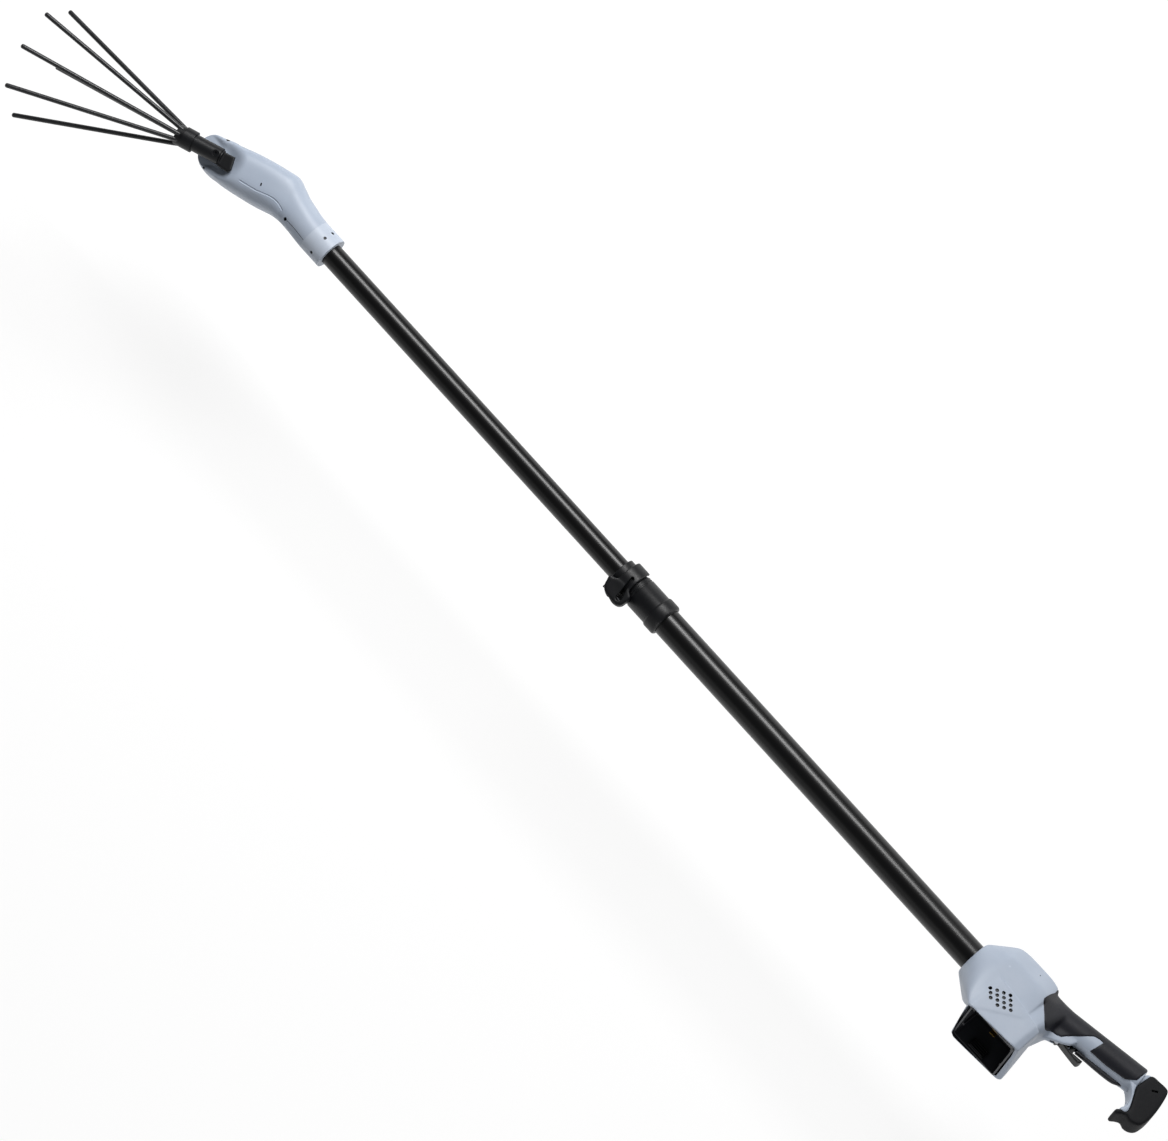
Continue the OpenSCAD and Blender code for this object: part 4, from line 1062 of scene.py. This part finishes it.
    def lever_form(self, p: np.ndarray) -> np.ndarray:
        """The lever: an arm round the front of the sleeve that ends in a slotted finger loop."""
        x, y, z = p.T
        r = np.hypot(y, z)
        a0, a1 = (math.radians(a) for a in self.arm_ends)
        arm = soft_max(np.stack([r - self.arm_out, np.abs(x - self.middle_x) - self.arm_half,
                                 y * math.sin(a0) - z * math.cos(a0), z * math.cos(a1) - y * math.sin(a1)]),
                       self.arm_soft)
        low, high = self.loop_z
        slab = slab_field(smooth_loop(self.loop), (high - low) / 2, self.loop_soft)
        loop = slab(p - np.array((0, 0, (low + high) / 2)))
        whole = -soft_max(-np.stack([arm, loop]), self.loop_fillet)
        hinge = np.hypot(y - self.pin[0], z - self.pin[1])
        eye = np.maximum(hinge - self.eye_room[0], np.abs(x - self.middle_x) - self.eye_room[1])
        slot = outline_distance(p[:, :2], smooth_loop(self.slot))
        room = self.swing_gap - self.swing_room(p)
        return soft_max(np.stack([whole, self.arm_in - r, -eye, self.pin_r - hinge, -slot, room]),
                        self.lever_soft)

    def lever(self) -> None:
        """The lever, ready to swing on its pin."""
        made = piece("clamp_lever_loop", *net(self.lever_form, *self.lever_box, spacing(self.lever_step)))
        install(made, WORLD, NYLON, Body.LEVER, Slot.BLACK, "clamp_lever", sharp=50)


@dataclass
class CoiledLead:
    """The lead coiled in the lower tube, built at one length; the real lead closes up as the pole slides in. Sizes
    are in millimetres.
    """

    ends: tuple = (-419.7, 54.5)
    travel: float = 380.0
    turns: int = 15
    coil_r: float = 12.6
    wire_r: float = 3.0
    run_in: float = 0.05
    steps: int = 28
    sides: int = 12

    def build(self) -> None:
        """Sweeps the round lead along its coil, with both ends run in to the pole's axis."""
        share = np.linspace(0, 1, self.turns * self.steps)
        inward = np.clip(np.minimum(share, 1 - share) / self.run_in, 0, 1)
        radius = self.coil_r * inward ** 2 * (3 - 2 * inward)
        angle = 2 * math.pi * self.turns * share
        low, high = self.ends
        out = np.stack([np.zeros_like(angle), np.cos(angle), np.sin(angle)], 1)
        middle = radius[:, None] * out + np.outer(low + (high - low) * share, (1, 0, 0))
        ahead = np.gradient(middle, axis=0)
        ahead[[0, -1]] = (1, 0, 0)
        ahead /= np.linalg.norm(ahead, axis=1)[:, None]
        out -= ahead * np.sum(ahead * out, axis=1)[:, None]
        out /= np.linalg.norm(out, axis=1)[:, None]
        rings = sweep(middle, out, np.cross(ahead, out), self.wire_r, self.sides)
        made = piece("coiled_lead_helix", *loft(rings))
        install(made, WORLD, SHEATH, Body.UNIT, Slot.LEAD, "coiled_lead", sharp=60)
        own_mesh(made)


@dataclass
class PowerUnit:
    """The housing, grip, butt and trigger, in the grip's own frame. Sizes are in millimetres."""

    socket_r: float = 24.0
    socket_x: tuple = (0.0, 2.0)
    ring_sides: int = 28
    front_points: Points = (
        (13, -2, 33), (13, -18, 33.2), (26, -28, 39.8), (26, -6, 39.3), (25, 49.3, 9), (31, 22, 34.6),
        (38, 52.6, 10), (80, 53.2, 10), (80, 21.8, 35.4), (80, 12, 38.4), (80, -24, 42.2), (90.5, 51, 9.5),
        (89, 20, 34.5), (89, 8, 37), (95, 43.6, 12), (94, 16, 33.5), (94, 2, 36), (94, -24, 41.5))
    front_low: Points = (
        (31, -56, 38.5), (38, -64, 40.5), (44, -64.5, 42))
    rear_points: Points = (
        (85, -14, 33), (97, -14, 33), (85, 1.3, 31.8), (97, 1.3, 31.8), (85, 20.9, 28.1), (97, 20.9, 28.1),
        (85, 45, 8), (97, 45, 8), (111, -20, 36.5))
    rear_low: Points = (
        (97, -21, 41), (110, -21, 40.5), (114, -34, 39.5), (100, -34, 41), (97, -21, -40), (108, -21, -39),
        (108, -34, -38), (124.6, 1, 9), (115.5, -19, 9), (124.6, 1, -9), (115.5, -19, -9))
    bay_points: Points = (
        (40, -64.5, 38), (44, -64.5, 42.4), (110.5, -60.5, 42.6), (118.2, -58, 38.6), (124, -59.5, -38),
        (120, -60.5, -43), (50, -66, -43), (45, -65.5, -38), (40, -12, 36), (46, -12, 40.5), (110.5, -20, 42.4),
        (117.6, -21, 38.4), (40, -12, -36), (46, -12, -40.5), (110.5, -20, -42.4), (117.6, -21, -38.4))
    cheek: Points = (
        (104, -12), (114, -5), (123.5, 2.5), (131, 5.5), (141.5, 11.5), (150, 16), (150, 26), (104, 22))
    cheek_half: float = 11.0
    skirt: Points = (
        (114, -14), (119, -11), (126.6, -4.0), (131.2, -1.2), (137, 2.3), (143.5, 6.6), (148.5, 11), (150, 18),
        (130, 22), (114, 12))
    skirt_s: tuple = (7.7, 12.4)
    core_r: float = 17.2
    core_ends: tuple = (-4.0, 121.0)
    core_root: tuple = (4.0, 10.0)
    front_soft: float = 0.9
    rear_soft: float = 1.0
    bay_soft: float = 0.5
    cheek_soft: float = 1.0
    skirt_soft: float = 0.8
    core_soft: float = 0.8
    fillet: float = 1.4
    box: tuple = ((-4, -68, -48), (238, 72, 48))
    pocket_corner: float = 3.5
    pocket: tuple = ((45.5, 114.5), -22.0, 40.5)
    tube_r: float = 17.7
    tube_x: tuple = (-5.0, 56.0)
    tube_sides: int = 64
    wall: float = 2.2
    split_gap: float = 0.12
    vent_start: tuple = (64.6, -18.6)
    vent_row: tuple = (-7.05, -4.05)
    vent_column: tuple = (4.4, -4.3)
    vent_r: float = 2.3
    vent_s: tuple = (30.0, 50.0)
    dot: tuple = ((67.0, 34.0, 15.0), (67.0, 42.0, 32.0))
    dot_r: float = 0.9
    vent_count: int = 4
    vent_limit: int = 6
    vent_sides: int = 24
    dot_sides: int = 12
    trigger_room: tuple = ((128.0, 177.0), (-40.0, 16.1), 7.5)
    plunger_room: tuple = ((147.0, 158.0), (0.0, 26.6), 4.0)
    throat: Points = (
        (221, 36), (226, 33.2), (231, 29.8), (235.8, 25.2), (239.4, 19), (240.6, 11), (238.8, 5), (240.5, 2),
        (247, 4), (246.6, 12.6), (238.6, 27.3), (233.4, 37.4), (234, 47), (236.4, 60), (230.6, 58), (226, 46),
        (222, 40))
    throat_half: float = 13.5
    butt: Points = (
        (235.2, 60.8), (247, 63.4), (257.5, 64), (262, 60.5), (266, 49), (269.3, 35), (271, 21), (269.8, 9),
        (264.5, 2.6), (257, 0.2), (250.5, 1.8), (245.5, -1.2), (241, -5.6), (237.6, -5.2), (237, -1), (240.4, 2.6),
        (246.2, 5.6), (245.4, 12.8), (237.7, 27.3), (232.6, 37.4), (232.8, 48))
    butt_half: float = 15.0
    lanyard: tuple = ((248.6, 47.6), (252.6, 50.8))
    blade: Points = (
        (131, 8.4), (133, 7.2), (138, 7.4), (150, 6.2), (166, 5.0), (170, 6.2), (171.2, 10.8), (167.5, 10.6),
        (152, 8.6), (143, 9.0), (137, 11.4), (132, 11))
    rubber: Points = (
        (-15.7, 95), (-17, 45), (-22.9, -12), (-21.5, -16.6), (-15, -29.5), (-8.4, -39.9), (-3.9, -46.1),
        (-0.4, -52.7), (2.4, -57), (6.8, -61.2), (13, -61.4), (19.5, -59.1), (25.6, -48.9), (35.2, -25.9),
        (41.9, -8), (48.9, 10.9), (54.7, 14.6), (61, 13.1), (57.7, -20.8), (54.4, -46), (78.3, -52.5), (105, -48.7),
        (117, -22.2), (120.3, 35), (120.3, 95))
    under: Points = (
        (142.5, 13.4), (147, 12.1), (170, 16.1), (186, 18.2), (207, 22.1), (216, 26.4), (221.5, 31.5), (200, 29),
        (172, 23), (150, 18.5), (143, 16.5))
    under_half: float = 3.0
    plunger: tuple = (153.0, 4.3)
    mouth: Points = (
        (51, -41.2), (117, -41.2), (121.4, -37), (115.8, 36.5), (108.5, 41.4), (45, 41.4), (39.9, 38), (46.6, -37))
    mouth_u: tuple = (-70.0, -56.0)
    rib_box: tuple = ((138, 8, -6), (226, 36, 6))
    throat_box: tuple = ((214, -4, -18), (254, 70, 18))
    butt_box: tuple = ((226, -14, -20), (278, 72, 20))
    rib_soft: float = 0.8
    rib_gap_soft: float = 0.4
    rib_step: float = 0.8
    throat_soft: float = 1.3
    butt_soft: float = 1.6
    butt_step: float = 0.9
    lanyard_r: float = 1.5
    lanyard_sides: int = 20
    trigger_pin: tuple = (134.0, 9.0)
    trigger_pin_r: float = 2.05
    trigger_half: float = 7.0
    boss_r: float = 3.2
    spring_room: tuple = (5.2, 2.5)
    stem: Points = ((150, 7.5), (156, 7.5), (156, 22.6), (150, 22.6))
    stem_half: float = 3.0
    pin_margin: float = 5.0
    blade_soft: float = 0.6
    boss_soft: float = 0.3
    trigger_fillet: float = 0.4
    trigger_step: float = 0.7
    trigger_box: tuple = ((126, -4, -10), (178, 26, 10))
    rubber_from: tuple = (86.0, -7.8)
    rubber_lift: float = 1.1
    rubber_edge: float = 1.6
    rubber_sink: float = 0.02
    step: float = 1.1

    def handle_place(self, p: np.ndarray) -> tuple[np.ndarray, np.ndarray, np.ndarray]:
        """Places of points along, above and beside the grip's axis."""
        c, k = math.cos(math.radians(HANDLE_TILT)), math.sin(math.radians(HANDLE_TILT))
        x, u = p[:, 0] - HANDLE_FOOT[0], p[:, 1] - HANDLE_FOOT[1]
        return x * c + u * k, u * c - x * k, p[:, 2]

    def handle_point(self, t: float, y: float, s: float) -> tuple[float, float, float]:
        """A point of the grip in the housing's frame."""
        c, k = math.cos(math.radians(HANDLE_TILT)), math.sin(math.radians(HANDLE_TILT))
        return HANDLE_FOOT[0] + t * c - y * k, HANDLE_FOOT[1] + t * k + y * c, s

    def form(self) -> Field:
        """The housing and the grip's core as one form."""
        angles = np.linspace(0, 2 * math.pi, self.ring_sides, endpoint=False)
        front = [(x, self.socket_r * math.cos(a), self.socket_r * math.sin(a))
                 for x in self.socket_x for a in angles]
        front += [(x, u, side * s) for x, u, s in self.front_points for side in (-1, 1)]
        front += self.front_low
        rear = [(x, u, side * s) for x, u, s in self.rear_points for side in (-1, 1)]
        rear += self.rear_low
        rear += [self.handle_point(t, self.core_r * math.cos(a), self.core_r * math.sin(a))
                 for t in self.core_root for a in angles]
        low, high = self.skirt_s
        skirt = slab_field(self.skirt, (high - low) / 2, self.skirt_soft)
        return soft_union([hull_field(front, self.front_soft), hull_field(rear, self.rear_soft),
                           hull_field(self.bay_points, self.bay_soft), self.core,
                           slab_field(self.cheek, self.cheek_half, self.cheek_soft),
                           lambda p: skirt(p - np.array((0, 0, (low + high) / 2)))], self.fillet)

    def core(self, p: np.ndarray) -> np.ndarray:
        """The grip's round core."""
        t, y, s = self.handle_place(p)
        start, end = self.core_ends
        return soft_max(np.stack([np.hypot(y, s) - self.core_r, start - t, t - end]), self.core_soft)

    def unrolled(self, p: np.ndarray) -> np.ndarray:
        """Points of the grip laid flat: along the axis, and round it from the side, both in millimetres."""
        t, y, s = self.handle_place(p)
        return np.column_stack([t, np.arctan2(y, np.abs(s)) * self.core_r])

    def flat_outline(self, outline: Points) -> np.ndarray:
        """An outline in millimetres and degrees, in the flat grip's millimetres."""
        return np.array([(t, math.radians(a) * self.core_r) for t, a in outline])

    def build(self) -> None:
        """Builds and dresses every piece of the power unit."""
        form = self.form()
        points, faces = net(form, *self.box, spacing(self.step))
        inner = piece("housing_hollow", *net(lambda p: form(p) + self.wall, *self.box, 2 * self.step))
        self.housing(piece("housing_form", points, faces), inner)
        self.pad("grip_rubber_top", self.rubber, form, points, faces, "grip_top")
        self.rib()
        self.butt_end()
        self.trigger()

    def housing(self, whole: bpy.types.Object, inner: bpy.types.Object) -> None:
        """Both housing halves, with the bay, vents, tube seat and trigger room cut."""
        left, right = halves(whole, inner, ("housing_half_near", "housing_half_far"), 0.0, self.split_gap)
        (x0, x1), u1, s = self.pocket
        c = self.pocket_corner
        plan = [(x0 + c, -s), (x1 - c, -s), (x1, -s + c), (x1, s - c), (x1 - c, s), (x0 + c, s), (x0, s - c),
                (x0, -s + c)]
        # The bay's walls take the liner finish with its painted light and painted shade, the tube seat's walls are
        # painted dark as shade, and the trigger and plunger rooms keep the grey
        rings = np.array([[(x, self.mouth_u[0], z) for x, z in self.mouth],
                          *([(x, u, z) for x, z in plan] for u in (self.mouth_u[1], u1))])
        tools = [(piece("pocket", *loft(rings)), LINER),
                 (rod(self.tube_r, *((x, 0, 0) for x in self.tube_x), self.tube_sides), ABS_HOLLOW_SHADE)]
        for (a0, a1), (b0, b1), half in (self.trigger_room, self.plunger_room):
            tools.append((block((a0, b0, -half), (a1, b1, half)), ABS))
        for tool, finish in tools:
            dress(tool, finish)
            cut(left, tool, keep=True)
            cut(right, tool)
        for tool in self.vents():
            cut(left, tool)
        for half, node in ((left, "housing_left"), (right, "housing_right")):
            install(half, GRIP, ABS, Body.UNIT, Slot.GREY, node, sharp=40)

    def vents(self) -> list[bpy.types.Object]:
        """Cutters of the slanted rows of round vents and the small hole in the roof's flank."""
        tools = []
        for i, j in product(range(self.vent_count), repeat=2):
            if i + j < self.vent_limit:
                x = self.vent_start[0] + i * self.vent_row[0] + j * self.vent_column[0]
                u = self.vent_start[1] + i * self.vent_row[1] + j * self.vent_column[1]
                tools.append(rod(self.vent_r, *((x, u, s) for s in self.vent_s), self.vent_sides))
        tools.append(rod(self.dot_r, *self.dot, self.dot_sides))
        # The walls of the vents and the roof hole are painted dark as shade
        for tool in tools:
            dress(tool, ABS_HOLLOW_SHADE)
        return tools

    def pad(self, name: str, outline: Points, form: Field, points: np.ndarray, faces: np.ndarray,
            node: str) -> None:
        """A raised rubber pad on the grip inside an outline.

        Args:
            name: The piece's name.
            outline: The pad's outline in millimetres along and degrees round the grip.
            form: The form that it lies on.
            points: The form's net.
            faces: The net's faces.
            node: The solid that it replaces.
        """
        level = outline_distance(self.unrolled(points), self.flat_outline(outline))
        start, low = self.rubber_from
        level = np.maximum(level, np.maximum(start - points[:, 0], low - points[:, 1]))
        kept, tris, depth = trim(points, faces, level)
        share = np.clip(-depth / self.rubber_edge, 0, 1)
        lift = self.rubber_lift * np.sqrt(np.clip(1 - (1 - share) ** 2, 0, 1))
        out = normals(form, kept)
        made = piece(name, kept + out * (lift - self.rubber_sink)[:, None], tris)
        install(made, GRIP, RUBBER, Body.UNIT, Slot.RUBBER, node)

    def rib(self) -> None:
        """The rubber rib under the grip, open where the trigger's plunger passes."""
        slab = slab_field(smooth_loop(self.under, 4), self.under_half, self.rib_soft)
        middle, half = self.plunger

        def form(p: np.ndarray) -> np.ndarray:
            """The rib with its opening."""
            return soft_max(np.stack([slab(p), half - np.abs(p[:, 0] - middle)]), self.rib_gap_soft)

        made = piece("grip_rubber_rib", *net(form, *self.rib_box, spacing(self.rib_step)))
        install(made, GRIP, RUBBER, Body.UNIT, Slot.RUBBER, "grip_under")

    def butt_end(self) -> None:
        """The grey throat behind the grip and the black butt with its hook."""
        step = spacing(self.butt_step)
        throat_form = slab_field(smooth_loop(self.throat), self.throat_half, self.throat_soft)
        throat = piece("grip_throat", *net(throat_form, *self.throat_box, step))
        install(throat, GRIP, ABS, Body.UNIT, Slot.GREY)
        butt_form = slab_field(smooth_loop(self.butt), self.butt_half, self.butt_soft)
        butt = piece("butt_with_hook", *net(butt_form, *self.butt_box, step))
        (x0, u0), (x1, u1) = self.lanyard
        for share in (0.0, 0.5, 1.0):
            x, u = x0 + share * (x1 - x0), u0 + share * (u1 - u0)
            hole = rod(self.lanyard_r, (x, u, -2 * self.butt_half), (x, u, 2 * self.butt_half), self.lanyard_sides)
            # The hole's walls take the liner finish, with its painted light and painted shade
            dress(hole, LINER)
            cut(butt, hole)
        install(butt, GRIP, BUTT, Body.UNIT, Slot.RUBBER, "butt_hook", sharp=45)

    def trigger(self) -> None:
        """The trigger lever with rounded edges."""
        x, u = self.trigger_pin

        def boss(p: np.ndarray) -> np.ndarray:
            """The round boss on the pin."""
            return soft_max(np.stack([np.hypot(p[:, 0] - x, p[:, 1] - u) - self.boss_r,
                                      np.abs(p[:, 2]) - self.trigger_half]), self.boss_soft)

        form = soft_union([slab_field(smooth_loop(self.blade, 4), self.trigger_half, self.blade_soft), boss,
                           slab_field(self.stem, self.stem_half, self.boss_soft)], self.trigger_fillet)
        made = piece("trigger_blade", *net(form, *self.trigger_box, self.trigger_step))
        for radius, half in ((self.trigger_pin_r, self.trigger_half + self.pin_margin), self.spring_room):
            tool = rod(radius, (x, u, -half), (x, u, half))
            dress(tool, NYLON)
            cut(made, tool)
        install(made, GRIP, NYLON, Body.TRIGGER, Slot.BLACK, "trigger", sharp=45)


@dataclass
class Studio:
    """Camera, floor and lights. Sizes are in metres."""

    target: tuple = (-0.6319, -0.0309, 0.0114)
    right: tuple = (0.66309, 0.74353, -0.08646)
    back: tuple = (0.1736, -0.0404, 0.984)
    distance: float = 8.0
    lens: float = 213.8
    sensor: float = 36.0
    clip_end: float = 100.0
    floor_half: float = 14.0
    floor_gap: float = 0.18
    floor_glow: float = 0.8
    floor_dim: float = 0.26
    floor_colour: str = "#E8E8E8"
    key_tilt: float = 42.0
    world_strength: float = 0.1

    def build(self) -> None:
        """Sets up the whole studio."""
        self.camera()
        self.floor()
        self.world()
        tilt = math.radians(self.key_tilt)
        key = (0.0, math.sin(tilt), math.cos(tilt))
        self.lamp("key_strip", key, far=2.4, size=(2.15, 0.66), watts=69, shift=-0.7)
        self.lamp("side_fill", (-0.1, -0.95, 0.3), far=2.6, size=(3.4, 2.2), watts=8)
        self.lamp("end_fill", (0.6, -0.72, 0.35), far=3.0, size=(1.6, 1.6), watts=18)
        self.lamp("far_fill", (0.3, 0.9, 0.3), far=2.6, size=(1.2, 1.6), watts=15, shift=0.4)

    def camera(self) -> None:
        """The camera at the photograph's viewing angle."""
        data = bpy.data.cameras.new("photo_camera")
        data.sensor_fit = "HORIZONTAL"
        data.sensor_width = self.sensor
        data.lens = self.lens
        data.clip_end = self.clip_end
        camera = bpy.data.objects.new("photo_camera", data)
        back = Vector(self.back).normalized()
        right = (Vector(self.right) - back * back.dot(Vector(self.right))).normalized()
        up = back.cross(right)
        pose = Matrix((right, up, back)).transposed().to_4x4()
        pose.translation = Vector(self.target) + back * self.distance
        camera.matrix_world = pose
        bpy.context.scene.collection.objects.link(camera)
        bpy.context.scene.camera = camera

    def floor(self) -> None:
        """A pale floor below the rake's lowest reach, white to the camera but for the object's shadow."""
        half, z = self.floor_half, CAD_BOX[0].z - self.floor_gap
        mesh = bpy.data.meshes.new("studio_floor")
        mesh.from_pydata([(-half, -half, z), (half, -half, z), (half, half, z), (-half, half, z)], [], [(0, 1, 2, 3)])
        floor = bpy.data.objects.new("studio_floor", mesh)
        bpy.context.scene.collection.objects.link(floor)
        made = bpy.data.materials.new("pale_paper_floor")
        made.use_nodes = True
        tree = made.node_tree
        tree.nodes.clear()
        rays = add(tree, "ShaderNodeLightPath")
        seen = rays.outputs["Is Camera Ray"]
        for kind in ("Is Glossy Ray", "Is Transmission Ray"):
            seen = add(tree, "ShaderNodeMath", None, {0: seen, 1: rays.outputs[kind]}, operation="MAXIMUM").outputs[0]
        plain = add(tree, "ShaderNodeBsdfDiffuse", {"Color": linear(self.floor_colour)})
        dim = add(tree, "ShaderNodeBsdfDiffuse", {"Color": (*[self.floor_dim] * 3, 1)})
        glow = add(tree, "ShaderNodeEmission", {"Color": (1, 1, 1, 1), "Strength": self.floor_glow})
        white = add(tree, "ShaderNodeAddShader", None, {0: dim.outputs[0], 1: glow.outputs[0]})
        both = add(tree, "ShaderNodeMixShader", None, {0: seen, 1: plain.outputs[0], 2: white.outputs[0]})
        add(tree, "ShaderNodeOutputMaterial", None, {"Surface": both.outputs[0]})
        mesh.materials.append(made)

    def world(self) -> None:
        """A soft even light from all round."""
        world = bpy.data.worlds.new("studio_world")
        bpy.context.scene.world = world
        world.use_nodes = True
        tree = world.node_tree
        tree.nodes.clear()
        sky = add(tree, "ShaderNodeBackground", {"Color": (1, 1, 1, 1), "Strength": self.world_strength})
        add(tree, "ShaderNodeOutputWorld", None, {"Surface": sky.outputs[0]})

    def lamp(self, name: str, way: Sequence[float], far: float, size: tuple[float, float], watts: float,
             shift: float = 0.0) -> None:
        """A soft box that faces the object.

        Args:
            name: The lamp's name.
            way: Direction from the object to the lamp.
            far: Distance from the object.
            size: Length along the pole, and width.
            watts: Power.
            shift: How far the lamp is set along the pole from the middle.
        """
        data = bpy.data.lights.new(name, "AREA")
        data.shape = "RECTANGLE"
        data.size, data.size_y = size
        data.energy = watts
        lamp = bpy.data.objects.new(name, data)
        back = Vector(way).normalized()
        along = (Vector((1, 0, 0)) - back * back.x).normalized()
        pose = Matrix((along, back.cross(along), back)).transposed().to_4x4()
        pose.translation = Vector(self.target) + back * far + Vector((shift, 0, 0))
        lamp.matrix_world = pose
        bpy.context.scene.collection.objects.link(lamp)


def dress_solids() -> None:
    """Gives every solid that stays in view its finish."""
    for name, finish in NODE_FINISH.items():
        solid = bpy.data.objects.get(name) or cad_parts[name]
        solid.data.materials.clear()
        solid.data.materials.append(finish.material())
        LOG.info("%s: %s", name, finish.name)


def main() -> None:
    """Builds the studio and every dressed piece in order."""
    logging.basicConfig(level=logging.INFO, format="%(name)s: %(message)s")
    bpy.context.scene.view_settings.view_transform = "Standard"
    Studio().build()
    dress_solids()
    RakeHead().build()
    Rake().build()
    PoleClamp().build()
    CoiledLead().build()
    PowerUnit().build()


if __name__ == "__main__":
    main()
